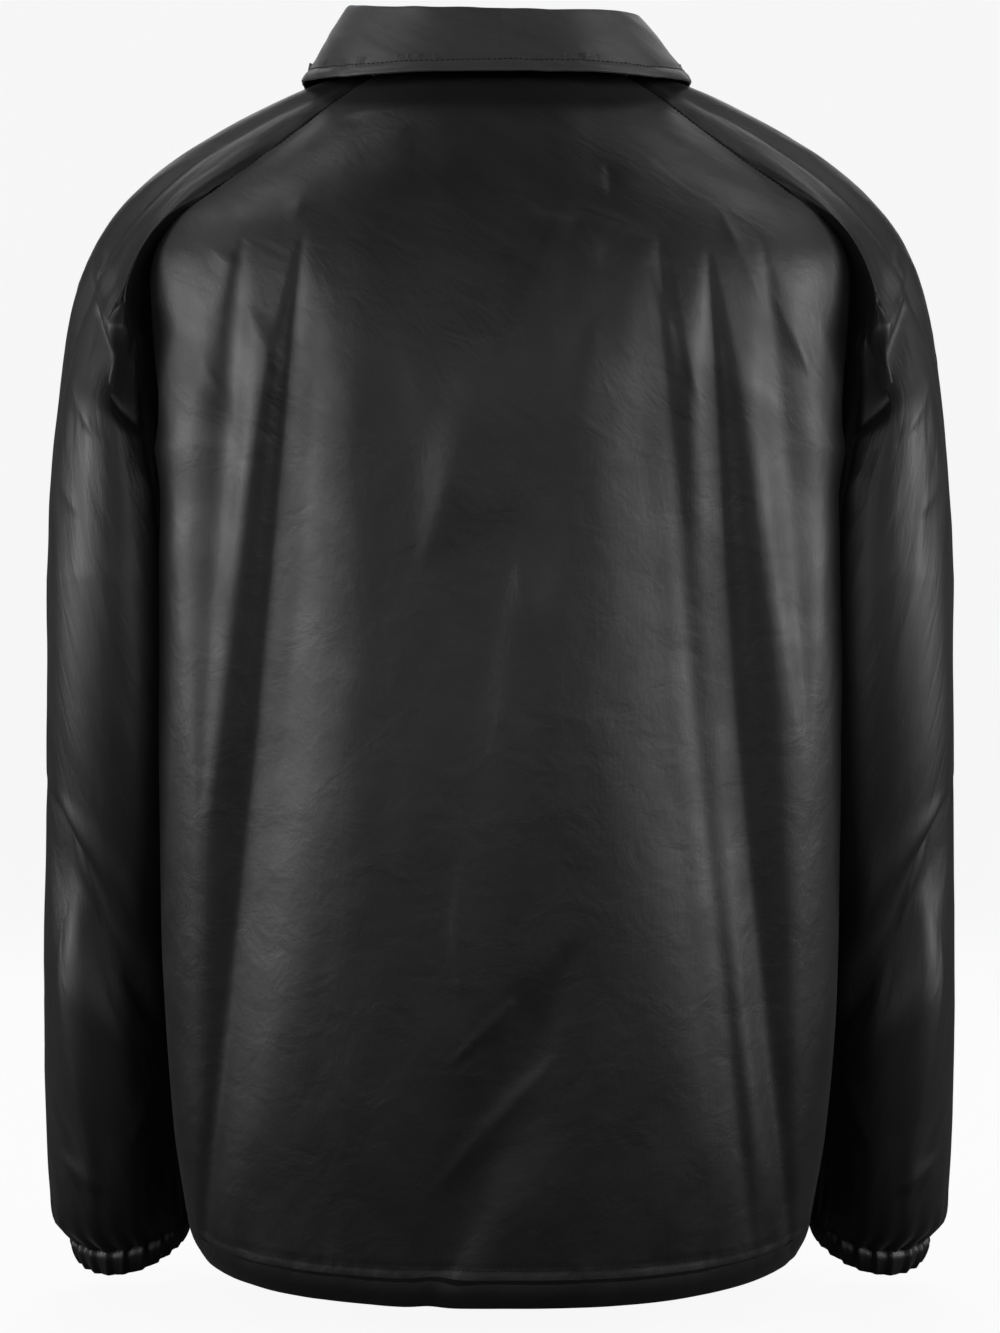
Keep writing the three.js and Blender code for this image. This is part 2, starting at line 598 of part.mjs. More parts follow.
// Moves the panels' points out for the folds, and in for the casing's stitch line
function shapeFolds() {
  const normalOf = sharedNormals(panels);
  panels.forEach((panel) => {
    const rows = panel.points.length - 1;
    const columns = panel.points[0].length - 1;
    const isSleeve = panel.name.startsWith('sleeve');
    panel.points = panel.points.map((line, r) => line.map((p, c) => {
      const normal = normalOf(p);
      const u = panel.name === 'back' ? (2 * c) / columns - 1 : 1 - c / columns;
      const high = isSleeve ? sleeveFold(p, normal, r / rows) : bodyFold(p, normal, u);
      const groove = !isSleeve && r === CASING_ROWS ? CASING_GROOVE : 0;
      return p.clone().addScaledVector(normal, high - groove);
    }));
  });
}

// Lays the overlap of the right front just inside the left one
function sinkUnderlap() {
  const panel = panelNamed('front_right');
  const normalOf = sharedNormals([panel]);
  panel.points = panel.points.map((line) => line.map((p, c) => (
    c <= FRONT_COLUMNS ? p : p.clone().addScaledVector(normalOf(p), -UNDERLAP_SINK))));
}

shapeFolds();
sinkUnderlap();
const panelNormal = sharedNormals(panels);

const jacket = new THREE.Group();
panels.forEach((panel) => {
  const normals = panel.points.map((line) => line.map(panelNormal));
  const outer = drawnBack(panel.points, normals, panel.seams);
  jacket.add(namedMesh(panel.name, wallGeometry(outer, normals, CLOTH, panel.flip), clothMaterial()));
});

// The left half of the neckline, point by point along the panels' top edges
function necklineHalf() {
  const back = panelNamed('back').points[lastRow].slice(BACK_COLUMNS / 2);
  const sleeveBack = panelNamed('sleeve_back_left').points[0].slice(YOKE_ROWS + 1);
  const sleeveFront = panelNamed('sleeve_front_left').points[0].slice(YOKE_ROWS, -1).reverse();
  const front = panelNamed('front_left').points[lastRow];
  const end = front[FRONT_COLUMNS + 1].clone()
    .lerp(front[FRONT_COLUMNS + 2], 1 - COLLAR_END_GAP / OVERLAP);
  return [...back, ...sleeveBack, ...sleeveFront, ...front.slice(1, FRONT_COLUMNS + 2), end];
}

// Collar: up from the neckline, over the fold and down to its free edge
function collarColumn(seam, at, side) {
  const read = (column) => readTable(COLLAR, 'at', column, at);
  const foldX = read('foldX') * (side === WEARER_RIGHT ? COLLAR_RIGHT_FOLD : 1);
  const edgeX = read('edgeX') * (side === WEARER_RIGHT ? COLLAR_RIGHT_EDGE : 1);
  const sag = side === WEARER_RIGHT ? COLLAR_RIGHT_SAG * Math.sin(Math.PI * at) ** 4 : 0;
  const fold = new THREE.Vector3(foldX, read('foldY'), read('foldZ') - sag);
  const edge = new THREE.Vector3(edgeX, read('edgeY'), read('edgeZ'));
  const away = edge.clone().sub(fold).setZ(0).normalize();
  const centre = fold.clone().setZ(fold.z - FOLD_RADIUS);
  const start = seam.clone().addScaledVector(away, -COLLAR_CLOTH);
  start.z += COLLAR_SEAM_LIFT;
  const standTop = centre.clone().addScaledVector(away, -FOLD_RADIUS);
  const column = [];
  for (let i = 0; i < STAND_STEPS; i += 1) column.push(start.clone().lerp(standTop, i / STAND_STEPS));
  for (let i = 0; i <= FOLD_STEPS; i += 1) {
    const turn = Math.PI - (FOLD_TURN * i) / FOLD_STEPS;
    column.push(centre.clone().addScaledVector(away, FOLD_RADIUS * Math.cos(turn))
      .setZ(centre.z + FOLD_RADIUS * Math.sin(turn)));
  }
  const fallTop = column[column.length - 1];
  for (let i = 1; i <= FALL_STEPS; i += 1) column.push(fallTop.clone().lerp(edge, i / FALL_STEPS));
  return column.map((p) => mirrored(p, side));
}

function collar() {
  const seam = necklineHalf();
  let length = 0;
  const lengths = seam.map((p, i) => {
    if (i > 0) length += p.distanceTo(seam[i - 1]);
    return length;
  });
  const half = (side) => seam.map((p, i) => collarColumn(p, lengths[i] / length, side));
  const columns = [...half(WEARER_RIGHT).slice(1).reverse(), ...half(WEARER_LEFT)];
  const points = columns[0].map((_, r) => columns.map((column) => column[r]));
  const normalOf = sharedNormals([{ points, flip: false }]);
  const normals = points.map((line) => line.map(normalOf));
  return namedMesh('collar', wallGeometry(points, normals, COLLAR_CLOTH, false), clothMaterial());
}
jacket.add(collar());

// Elastic cuff: gathered rings that carry on from the sleeve's end
function cuff(side, word) {
  const steps = CUFF_GATHERS * CUFF_STEPS_PER_GATHER;
  const rings = CUFF.map(({ drop, grow }) => Array.from({ length: steps }, (_, c) => {
    const turn = (2 * c) / steps;
    const facing = turn < 1 ? 1 : -1;
    const point = armPoint(CUFF_SEAM_Z, turn < 1 ? turn : 2 - turn, facing);
    const middle = vector(ARM[ARM.length - 1]);
    const outwards = point.clone().sub(middle).setZ(0).normalize();
    const wave = CUFF_GATHER_DEPTH * (c % 2 === 0 ? 1 : -1);
    point.addScaledVector(outwards, grow + wave);
    point.z -= drop;
    return mirrored(point, side);
  }));
  if (side === WEARER_LEFT) rings.reverse();
  return namedMesh(`cuff_${word}`, bandGeometry(rings, CUFF_CLOTH), clothMaterial());
}
jacket.add(cuff(WEARER_LEFT, 'left'), cuff(WEARER_RIGHT, 'right'));

// Snap caps on the middle of the upper front
function snap(z, number) {
  const middleColumn = FRONT_COLUMNS + 2;
  const line = panelNamed('front_left').points.map((row) => row[middleColumn]);
  const above = line.findIndex((p) => p.z > z);
  const low = line[above - 1];
  const high = line[above];
  const seat = low.clone().lerp(high, (z - low.z) / (high.z - low.z));
  const up = high.clone().sub(low).normalize();
  const outwards = new THREE.Vector3(1, 0, 0).cross(up).normalize();
  const profile = SNAP_PROFILE.map(([r, h]) => new THREE.Vector2(r, h));
  const mesh = namedMesh(`snap_${number}`, new THREE.LatheGeometry(profile, SNAP_SEGMENTS),
    new THREE.MeshStandardMaterial({ color: SNAP_COLOUR, roughness: 0.35, metalness: 0 }));
  mesh.position.copy(seat.addScaledVector(outwards, SNAP_CLEARANCE));
  mesh.quaternion.setFromUnitVectors(new THREE.Vector3(0, 1, 0), outwards);
  return mesh;
}
SNAPS_Z.forEach((z, i) => jacket.add(snap(z, i + 1)));

export default jacket;
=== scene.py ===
import math

import bpy
import numpy as np
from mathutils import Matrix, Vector


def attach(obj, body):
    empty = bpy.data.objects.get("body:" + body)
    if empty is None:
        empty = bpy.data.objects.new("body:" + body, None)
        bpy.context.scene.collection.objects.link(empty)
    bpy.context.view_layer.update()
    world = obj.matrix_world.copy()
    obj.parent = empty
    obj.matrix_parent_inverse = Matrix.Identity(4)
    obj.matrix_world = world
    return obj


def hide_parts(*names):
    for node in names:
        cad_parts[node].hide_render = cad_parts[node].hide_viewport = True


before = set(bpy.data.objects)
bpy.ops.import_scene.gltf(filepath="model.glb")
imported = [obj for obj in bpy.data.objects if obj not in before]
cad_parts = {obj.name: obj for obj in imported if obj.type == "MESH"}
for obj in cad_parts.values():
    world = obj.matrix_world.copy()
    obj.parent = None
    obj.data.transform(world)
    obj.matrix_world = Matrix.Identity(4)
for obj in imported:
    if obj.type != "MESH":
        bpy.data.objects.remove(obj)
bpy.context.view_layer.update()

# Coach jacket seen from behind. The tables are in millimetres and the scene in metres.
MM = 0.001
LEFT, RIGHT = 1, -1  # sign of x on the wearer's left and right
BACK, FRONT = 1, -1  # sign of y


def table(columns, rows):
    """A dict of arrays, one for each named column."""
    names = columns.split()
    return {name: np.array([row[i] for row in rows], float) for i, name in enumerate(names)}


# Rows and columns that the panels' sizes are counted in
CASING_ROWS, TORSO_ROWS, YOKE_ROWS = 3, 19, 12
HEAD_ROWS, ARM_ROWS, NECK_COLUMNS = 14, 12, 2
LAST_ROW = TORSO_ROWS + YOKE_ROWS
SLEEVE_ROWS = HEAD_ROWS + ARM_ROWS
SLEEVE_COLUMNS = YOKE_ROWS + NECK_COLUMNS

# Body below the underarm
TORSO = table("z side dent back front back_drop front_drop", [
    (-711, 184, 4, 146, 140, 22, 14),
    (-701, 187.5, 6, 150, 144, 22.5, 14.5),
    (-689, 188, 10, 151, 145, 21.5, 14),
    (-640, 189, 20, 155, 148, 15, 10),
    (-560, 190, 27, 157, 149, 7, 5),
    (-430, 189, 32, 157, 147, 0, 0),
    (-300, 188, 34, 154, 143, 0, 0),
    (-262, 190.5, 30, 153, 142, 0, 0),
    (-233, 203, 19, 152, 141, 0, 0),
])
HEM_Z, CASING_TOP_Z, UNDERARM_Z = -711, -689, -233
DROP_POWER = 1.4
DENT_SPREAD = 52
SQUARENESS = 2.5
YOKE_FLATTENING, YOKE_FLAT_AT, YOKE_DENT_END = 38, 0.8, 0.45

# Raglan seams on the wearer's left from the underarm up, and the middle of the back and front
RAGLAN_BACK = table("x y z", [
    (203, 0, -233), (208.5, 28, -200), (210.5, 50, -158), (209, 61, -118), (193, 69, -95),
    (172, 70, -79), (147, 65, -60), (120, 54, -38), (97, 42, -18), (77, 31, -3),
])
RAGLAN_FRONT = table("x y z", [
    (203, 0, -233), (206, -28, -202), (204, -50, -163), (196, -64, -128), (178, -74, -104),
    (155, -78, -86), (130, -78, -68), (106, -73, -50), (87, -65, -36), (71, -57, -25),
])
CENTRE_BACK = table("x y z", [
    (0, 152, -233), (0, 149, -170), (0, 138, -105), (0, 116, -52), (0, 77, -6),
])
CENTRE_FRONT = table("x y z", [
    (0, -141, -233), (0, -138, -185), (0, -127, -135), (0, -108, -93), (0, -86, -62),
])
SLEEVE_NECK = table("x y z", [
    (77, 31, -3), (86, 12, 5.5), (88, -10, 7), (83, -34, -6), (71, -57, -25),
])
OVERARM_AT = 0.45

# How a sleeve leaves the raglan seam, from the underarm (0) to the overarm seam (1)
HEAD = table("at out away down fall", [
    (0, 55, 0, 8, 75),
    (0.12, 35, 15, 55, 80),
    (0.25, 45, 60, 80, 130),
    (0.36, 80, 52, 80, 180),
    (0.44, 150, 42, 55, 230),
    (0.52, 215, 28, 55, 280),
    (0.65, 330, 8, 90, 360),
    (0.8, 465, 0, 175, 510),
    (1, 575, 0, 240, 645),
])
ARRIVE_OUT = 30
ARM = table("z x y wide deep tilt lean", [
    (-310, 239.5, -4, 40, 84, 0, 0),
    (-380, 239.5, -5, 40, 80, 0, 0),
    (-480, 240, -9, 41, 75, 0, 0),
    (-580, 241, -15, 42, 69, 0, 0),
    (-640, 240.5, -19, 42, 65, 0, 1),
    (-684, 239.5, -22, 41, 59, 2, 4),
    (-703, 237.5, -23.5, 40.5, 52, 4, 7),
    (-713, 231.5, -24, 35.5, 42, 5, 9),
])
UPPER_ARM_Z, CUFF_SEAM_Z = -310, -713
ARM_SQUARENESS = 2.15

# Cuff sections from the sleeve down, and its gathers
CUFF = table("drop grow", [(0.4, 0), (4, 1.2), (8, 0.4), (12, -1.5), (15, -3.6)])
CUFF_GATHERS = 21
CUFF_GATHER_DEPTH = 1.4
CUFF_GATHER_REACH = 16  # how far the gathers run up the sleeve

# Folds: a curve by way of a middle point in x and z, the half width on the side towards the
# wearer's left and on the other, and the height out of the cloth
FOLD_COLUMNS = "x0 z0 x1 z1 x2 z2 left right high"
BACK_FOLDS = table(FOLD_COLUMNS, [
    (150, -110, 168, -220, 176, -460, 12, 16, -7),
    (114, -110, 148, -360, 180, -740, 14, 40, -18),
    (-92, -110, -104, -320, -150, -720, 36, 14, -10),
    (-120, -120, -140, -340, -176, -740, 24, 14, -17),
    (-152, -110, -174, -220, -180, -420, 16, 12, -6),
    (-43, -86, 0, -190, 46, -310, 24, 60, 6),
    (62, -160, 70, -330, 62, -480, 34, 34, -3),
    (-56, -160, -40, -330, -2, -520, 24, 50, 4),
    (-16, -280, -4, -440, 26, -700, 24, 50, 4),
    (-44, -520, 6, -620, 50, -760, 26, 24, -7),
])
BACK_CREASES = table(FOLD_COLUMNS, [
    (-12, -92, -26, -100, -48, -106, 4, 6, 1.3),
    (-26, -97, -58, -99, -88, -116, 5, 4, 1.2),
    (-61, -70, -66, -82, -62, -92, 4, 6, -1.0),
    (-44, -104, -52, -118, -56, -134, 5, 8, 1.1),
    (96, -36, 78, -33, 58, -34, 4, 5, 1.0),
    (118, -88, 116, -96, 120, -104, 5, 5, 0.8),
    (-12, -550, 10, -575, 29, -592, 3, 5, 1.8),
    (-6, -556, 14, -580, 26, -596, 4, 4, -1.2),
    (-35, -585, 2, -622, 40, -668, 8, 12, 2.4),
    (176, -180, 168, -200, 160, -222, 5, 4, 1.4),
    (150, -150, 138, -172, 130, -196, 6, 6, 1.6),
    (172, -112, 160, -128, 150, -136, 5, 5, 1.2),
    (-158, -142, -172, -168, -184, -196, 4, 6, 1.6),
    (-128, -96, -142, -130, -156, -156, 6, 6, 1.4),
    (-87, -131, -101, -164, -121, -224, 5, 9, 1.8),
    (22, -470, 26, -530, 20, -560, 6, 8, 1.2),
    (-8, -300, -20, -330, -26, -360, 8, 8, 1.0),
])
FRONT_FOLDS = table(FOLD_COLUMNS, [
    (110, -120, 132, -330, 142, -640, 20, 20, -10),
    (-112, -120, -126, -330, -148, -650, 20, 20, -10),
    (76, -150, 92, -400, 88, -680, 22, 22, 7.5),
    (-72, -160, -88, -390, -92, -680, 22, 22, 7.5),
    (165, -170, 168, -350, 170, -560, 18, 18, 6.2),
    (-162, -150, -170, -370, -172, -600, 18, 18, 6.2),
])
FRONT_CREASES = table(FOLD_COLUMNS, [
    (150, -140, 132, -170, 120, -210, 6, 6, 1.6),
    (-152, -132, -140, -170, -118, -196, 6, 6, 1.6),
    (58, -300, 84, -330, 112, -340, 5, 8, 1.4),
    (-44, -420, -80, -450, -110, -454, 5, 8, 1.4),
    (40, -560, 62, -600, 96, -622, 5, 8, 1.8),
    (-36, -540, -64, -590, -104, -610, 5, 8, 1.6),
    (64, -110, 78, -140, 74, -176, 5, 7, 1.2),
    (-60, -104, -72, -128, -86, -150, 5, 7, 1.2),
])
# Folds of a sleeve given on the wearer's left; high is on the back and far on the front
SLEEVE_FOLD_COLUMNS = "x0 z0 x1 z1 x2 z2 left right high far"
SLEEVE_FOLDS = table(SLEEVE_FOLD_COLUMNS, [
    (254, -108, 246, -190, 204, -234, 10, 9, -11, -6),
    (246, -100, 232, -168, 202, -224, 9, 10, 5, 3),
    (214, -190, 204, -370, 208, -620, 46, 20, 17, 0),
    (266, -436, 240, -488, 196, -578, 12, 12, 4, 3),
    (290, -414, 244, -496, 198, -606, 28, 8, -16, -5),
    (264, -470, 258, -570, 246, -710, 12, 12, 4, 3),
])
SLEEVE_CREASES = table(SLEEVE_FOLD_COLUMNS, [
    (245, -117, 238, -146, 226, -192, 5, 4, 1.8, 1.2),
    (234, -150, 222, -172, 209, -190, 4, 6, 1.8, 1.2),
    (262, -170, 256, -206, 236, -232, 5, 7, 2.0, 1.6),
    (268, -240, 262, -262, 246, -276, 5, 8, 1.2, 1.2),
    (222, -240, 216, -262, 206, -280, 5, 6, 1.4, 1.2),
    (268, -452, 262, -486, 240, -520, 4, 7, 2.0, 1.0),
    (262, -468, 236, -511, 202, -565, 5, 7, 2.2, 1.4),
    (270, -520, 262, -590, 250, -650, 8, 6, 1.6, 1.2),
    (206, -600, 214, -630, 226, -660, 6, 8, 1.6, 1.6),
    (270, -660, 256, -676, 236, -684, 5, 6, 1.6, 1.6),
])
FOLD_FADE = 0.14
FOLD_TAPER = 1.1
FOLD_SLIM = 0.1
FOLD_STEPS = 20
FOLD_REACH = 3.2
FOLD_BLEND = 0.5
FOLDS_NONE_AT, FOLDS_FULL_AT = 0.05, 0.6

# Front closing
OVERLAP = 19
UNDERLAP_SINK = 2.2
UNDERLAP_RAMP = 5
SNAPS_Z = (-86, -228, -370, -512, -654)

# Collar from the middle of the back to its end at the front
COLLAR = table("at fold_x fold_y fold_z edge_x edge_y edge_z", [
    (0, 0, 82, 28.5, 0, 105, -12),
    (0.16, 42, 75, 29.5, 54, 101, -12),
    (0.28, 68, 59, 34, 90, 83, -11),
    (0.38, 84, 39, 39, 110, 54, -7.5),
    (0.48, 92, 14, 43, 121, 18, -3),
    (0.58, 91, -14, 41, 121, -18, -3),
    (0.68, 83, -42, 31, 115, -54, -16),
    (0.78, 66, -67, 14, 102, -85, -38),
    (0.88, 41, -85, -7, 83, -105, -63),
    (1, 6, -97, -27, 54, -118, -88),
])
COLLAR_RIGHT_FOLD, COLLAR_RIGHT_EDGE, COLLAR_RIGHT_SAG = 0.92, 0.965, 6
COLLAR_CLOTH = 2.2
COLLAR_END_GAP = 1.5
COLLAR_FOLD_RADIUS = 3.2
COLLAR_FOLD_TURN = math.radians(153)

# Fine rows and columns to one of a panel's own
BACK_FINE = (11, 10)
FRONT_FINE = (8, 7)
SLEEVE_FINE = (11, 9)
SLEEVE_FRONT_FINE = (11, 6)
CASING_FINE = 4

# Stage, metres: how low the floor is, how far out its wall, the curve between them and its top
STAGE_Z, STAGE_REACH, STAGE_CURVE, STAGE_TOP = -0.75, 7.0, 1.2, 4.5

# Sewing: profiles are (outwards, along the surface); groove, puff and bead are (height, width);
# puckers are (wave, depth, reach), all in millimetres
SEAM_TURN = ((-0.6, 0), (-0.3, 0.15), (-0.08, 0.45), (0, 0.9), (0, 3))
HEM_RADIUS = 1.0
EDGE_RETURN = 18
CUFF_TUCK = ((2.0, 6), (1.9, 4), (1.6, 2), (1.0, 0.7))
CUFF_TURN = ((0.5, -0.7), (1.6, -0.9), (2.6, -0.2), (3.0, 1.2), (3.0, 8))
STITCH_LONG, STITCH_PITCH, STITCH_WIDE, STITCH_HIGH = 2.3, 3.1, 0.5, 0.32
STITCH_STATIONS = ((-0.5, 0.25, -0.5), (-0.3, 0.95, 0.0), (0, 1.0, 0.15), (0.3, 0.95, 0.0),
                   (0.5, 0.25, -0.5))  # place along, width and lift, in shares of the above
STITCH_LIFT, HEM_STITCH_LIFT = 0.15, 0.05
SEAM_CALM = 14  # width beside a seam where the small unevenness dies out
SEAM_PUCKERS, END_PUCKERS = (12, 0.5, 7), (9, 0.5, 8)
COLLAR_STITCH_IN = 7.5
COLLAR_GROOVE, COLLAR_BEAD, COLLAR_BEAD_IN = (0.6, 1.6), (0.5, 2.5), 3.2
COLLAR_FINE_PUCKERS, COLLAR_WIDE_PUCKERS, COLLAR_FINE_IN = (3.6, 0.55, 4.5), (9, 0.4, 9), 1.5
HEM_GROOVE, HEM_PUFF, HEM_PUFF_SHARE = (0.5, 1.8), 0.3, 0.42
HEM_RIPPLE, HEM_FINE, HEM_RIBS = (12, 0.8, 8), (3.4, 0.5, 4.5), (2.6, 0.3, 4)
HEM_FINE_BELOW, HEM_RIBS_ABOVE = 2.5, 3

# Snap cap from its middle out and down: radius and height
SNAP_PROFILE = ((0, 2.3), (1.6, 2.28), (3.0, 2.1), (4.2, 1.75), (4.9, 1.3), (5.2, 1.1), (5.5, 1.25),
                (5.9, 1.4), (6.3, 1.2), (6.5, 0.7), (6.3, 0.2), (6.0, -0.2))

# Colours and finish
BLACK_CLOTH = (0.008, 0.008, 0.0083)
# The collar is the shell's black cloth made lighter: painted light for the brighter way the collar
# catches the lamps
COLLAR_PAINTED_LIGHT_COLOUR = (0.034, 0.034, 0.0345)
THREAD_COLOUR = (0.006, 0.006, 0.0065, 1)
CAP_COLOUR = (0.012, 0.012, 0.013, 1)

# Lights of one side, metres and watts: name, place, target, width and height, power; x is outwards
SIDE_LIGHTS = (
    ("side_", (1.9, 1.75, 0.15), (0.15, 0, -0.25), (1.5, 0.5), 15.5),
    ("edge_", (2.4, 0.3, 0.1), (0.2, 0, -0.25), (1.4, 0.6), 24),
    ("shoulder_", (1.3, 0.0, 1.5), (0.15, 0, -0.1), (0.9, 0.9), 7),
)
MIDDLE_LIGHTS = (
    ("behind_camera", (0, 2.9, 0.2), (0, 0.0, -0.25), (0.7, 0.3), 6.2),
    ("front_soft", (0, -2.4, 1.0), (0, 0.0, -0.35), (2.4, 1.6), 25),
)
ROOM_LIGHT = (0.02, 0.02, 0.02, 1)

# Camera straight behind the jacket: metres, and its sensor's height in millimetres
CAMERA_AWAY, CAMERA_Z, SENSOR = 2.0, -0.3636, 36
PICTURE_HIGH, PIXEL_MM = 1333, 0.62  # the picture's height and the size of a pixel at the jacket


def read(t, key, column, value):
    """A smooth value of one column of a table, at places in its key column."""
    keys, values = t[key], t[column]
    last = len(keys) - 1
    rising = 1 if keys[-1] > keys[0] else -1
    value = np.asarray(value, float)
    i = np.searchsorted(rising * keys[1:-1], rising * value, side="left")
    before = np.maximum(np.arange(last + 1) - 1, 0)
    after = np.minimum(np.arange(last + 1) + 1, last)
    slope = (values[after] - values[before]) / (keys[after] - keys[before])
    span = keys[i + 1] - keys[i]
    t1 = np.clip((value - keys[i]) / span, 0, 1)
    t2, t3 = t1**2, t1**3
    start = (2 * t3 - 3 * t2 + 1) * values[i] + (t3 - 2 * t2 + t1) * span * slope[i]
    end = (3 * t2 - 2 * t3) * values[i + 1] + (t3 - t2) * span * slope[i + 1]
    return start + end


def curve_through(points):
    """A smooth curve through a table of points, read at shares of its length."""
    line = np.stack([points["x"], points["y"], points["z"]], 1)
    at = np.r_[0, np.cumsum(np.linalg.norm(np.diff(line, axis=0), axis=1))]
    measured = {**points, "at": at}
    return lambda share: np.stack(
        [read(measured, "at", axis, np.asarray(share) * at[-1]) for axis in "xyz"], -1)


raglan = {BACK: curve_through(RAGLAN_BACK), FRONT: curve_through(RAGLAN_FRONT)}
centre = {BACK: curve_through(CENTRE_BACK), FRONT: curve_through(CENTRE_FRONT)}
sleeve_neck = curve_through(SLEEVE_NECK)


def rounded_radius(angle, squareness):
    c = np.abs(np.cos(angle)) ** squareness
    s = np.abs(np.sin(angle)) ** squareness
    return (c + s) ** (-1 / squareness)


def smoothstep(value, low, high):
    t = np.clip((value - low) / (high - low), 0, 1)
    return t * t * (3 - 2 * t)


def body_levels(rows, facing):
    """The end, middle, dent, sweep and drop power of the body at each row."""
    torso = rows <= TORSO_ROWS
    z = np.interp(rows, [0, CASING_ROWS, TORSO_ROWS], [HEM_Z, CASING_TOP_Z, UNDERARM_Z])
    share = np.clip((rows - TORSO_ROWS) / YOKE_ROWS, 0, 1)
    depth = "back" if facing == BACK else "front"
    side_end = np.stack([read(TORSO, "z", "side", z), 0 * z, z], 1)
    drop = read(TORSO, "z", depth + "_drop", z)
    middle = np.stack([0 * z, facing * read(TORSO, "z", depth, z), z - drop], 1)
    yoke_dent = TORSO["dent"][-1] * np.maximum(0, 1 - share / YOKE_DENT_END) ** 2
    flat = YOKE_FLATTENING * np.minimum(1, share / YOKE_FLAT_AT)
    return (
        np.where(torso[:, None], side_end, raglan[facing](share)),
        np.where(torso[:, None], middle, centre[facing](share)),
        np.where(torso, read(TORSO, "z", "dent", z), yoke_dent),
        np.radians(90 - flat),
        np.where(torso, DROP_POWER, 1.0),
    )


def body_points(rows, across, facing):
    """Points of the body; across is a row of shares from -1 to 1 for each row."""
    end, middle, dent, sweep, power = body_levels(rows, facing)
    dent, sweep, power = dent[:, None], sweep[:, None], power[:, None]
    angle = across * sweep
    r = rounded_radius(angle, SQUARENESS)
    end_r = rounded_radius(sweep, SQUARENESS)
    wide = r * np.sin(np.abs(angle)) / (end_r * np.sin(sweep))
    end_deep = end_r * np.cos(sweep)
    deep = np.clip((r * np.cos(angle) - end_deep) / (1 - end_deep), 0, 1)
    end_y, end_z = end[:, 1:2], end[:, 2:3]
    y = end_y + (middle[:, 1:2] - end_y) * deep
    pressed = dent * np.exp(-(((y - end_y) / DENT_SPREAD) ** 2))
    x = np.sign(across) * ((end[:, 0:1] + dent) * wide - pressed * wide)
    return np.stack([x, y, end_z + (middle[:, 2:3] - end_z) * deep**power], -1)


def fine_rows(per_row):
    """Row places of a body panel, closer together in the casing."""
    casing = np.linspace(0, CASING_ROWS, CASING_ROWS * CASING_FINE + 1)
    above = np.linspace(CASING_ROWS, LAST_ROW, (LAST_ROW - CASING_ROWS) * per_row + 1)
    return np.r_[casing, above[1:]]


def share_for_x(rows, facing, x):
    """The share at which each row reaches x, as a row for each."""
    shares = np.linspace(0, 1, 240)
    reach = body_points(rows, np.tile(shares, (len(rows), 1)), facing)[:, :, 0]
    return np.stack([np.sign(x) * np.interp(np.abs(x), line, shares) for line in reach])


def back_grid():
    rows = fine_rows(BACK_FINE[0])
    across = np.linspace(-1, 1, 28 * BACK_FINE[1] + 1)
    return body_points(rows, np.tile(across, (len(rows), 1)), BACK)


def front_grid(side):
    """A front from its side seam to its edge past the middle."""
    rows = fine_rows(FRONT_FINE[0])
    lap = OVERLAP + (UNDERLAP_RAMP if side == RIGHT else 0)
    x = np.linspace(lap, -OVERLAP, 18)
    near_middle = share_for_x(rows, FRONT, x)
    run = np.linspace(0, 1, 12 * FRONT_FINE[1])[:-1]
    wide = 1 - (1 - near_middle[:, :1]) * run
    return body_points(rows, side * np.hstack([wide, near_middle]), FRONT)


def arm_point(z, around, facing):
    """Points of the sleeve below its head, around from its inner side (0) to its outer (1)."""
    angle = around * np.pi
    r = rounded_radius(angle, ARM_SQUARENESS)
    out, away = -r * np.cos(angle), r * np.sin(angle)
    part = {name: read(ARM, "z", name, z) for name in ("x", "y", "wide", "deep", "tilt", "lean")}
    return np.stack([
        part["x"] + part["wide"] * out,
        part["y"] + facing * part["deep"] * away,
        z - part["tilt"] * out - part["lean"] * facing * away**2,
    ], -1)


def head_edge(columns, facing):
    up = raglan[facing](np.clip(columns / YOKE_ROWS, 0, 1))
    share = np.clip((columns - YOKE_ROWS) / NECK_COLUMNS, 0, 1)
    neck = sleeve_neck(OVERARM_AT * share if facing == BACK else 1 - (1 - OVERARM_AT) * share)
    return np.where((columns <= YOKE_ROWS)[:, None], up, neck)


def sleeve_grid(side, facing):
    fine = SLEEVE_FINE if facing == BACK else SLEEVE_FRONT_FINE
    rows = np.linspace(0, SLEEVE_ROWS, SLEEVE_ROWS * fine[0] + 1)
    columns = np.linspace(0, SLEEVE_COLUMNS, SLEEVE_COLUMNS * fine[1] + 1)
    around = columns / SLEEVE_COLUMNS
    out, away, down, fall = (
        read(HEAD, "at", name, around) for name in ("out", "away", "down", "fall"))
    leave = np.stack([out, facing * away, -down], 1)
    arrive = np.stack([ARRIVE_OUT * around, 0 * fall, -fall], 1)
    start = head_edge(columns, facing)
    end = arm_point(np.full(len(around), float(UPPER_ARM_Z)), around, facing)
    t = np.clip(rows / HEAD_ROWS, 0, 1)[:, None, None]
    t2, t3 = t**2, t**3
    head = ((2 * t3 - 3 * t2 + 1) * start + (t3 - 2 * t2 + t) * leave
            + (3 * t2 - 2 * t3) * end + (t3 - t2) * arrive)
    share = np.clip((rows - HEAD_ROWS) / ARM_ROWS, 0, 1)
    z = UPPER_ARM_Z + (CUFF_SEAM_Z - UPPER_ARM_Z) * share
    arm = arm_point(np.repeat(z[:, None], len(around), 1), np.tile(around, (len(z), 1)), facing)
    points = np.where((rows <= HEAD_ROWS)[:, None, None], head, arm)
    return points * np.array([side, 1, 1])


def normals_of(points, flip):
    """Outward directions of a grid."""
    along_row = np.gradient(points, axis=1)
    along_column = np.gradient(points, axis=0)
    normal = np.cross(along_row, along_column) * (-1 if flip else 1)
    return normal / np.maximum(np.linalg.norm(normal, axis=-1, keepdims=True), 1e-9)


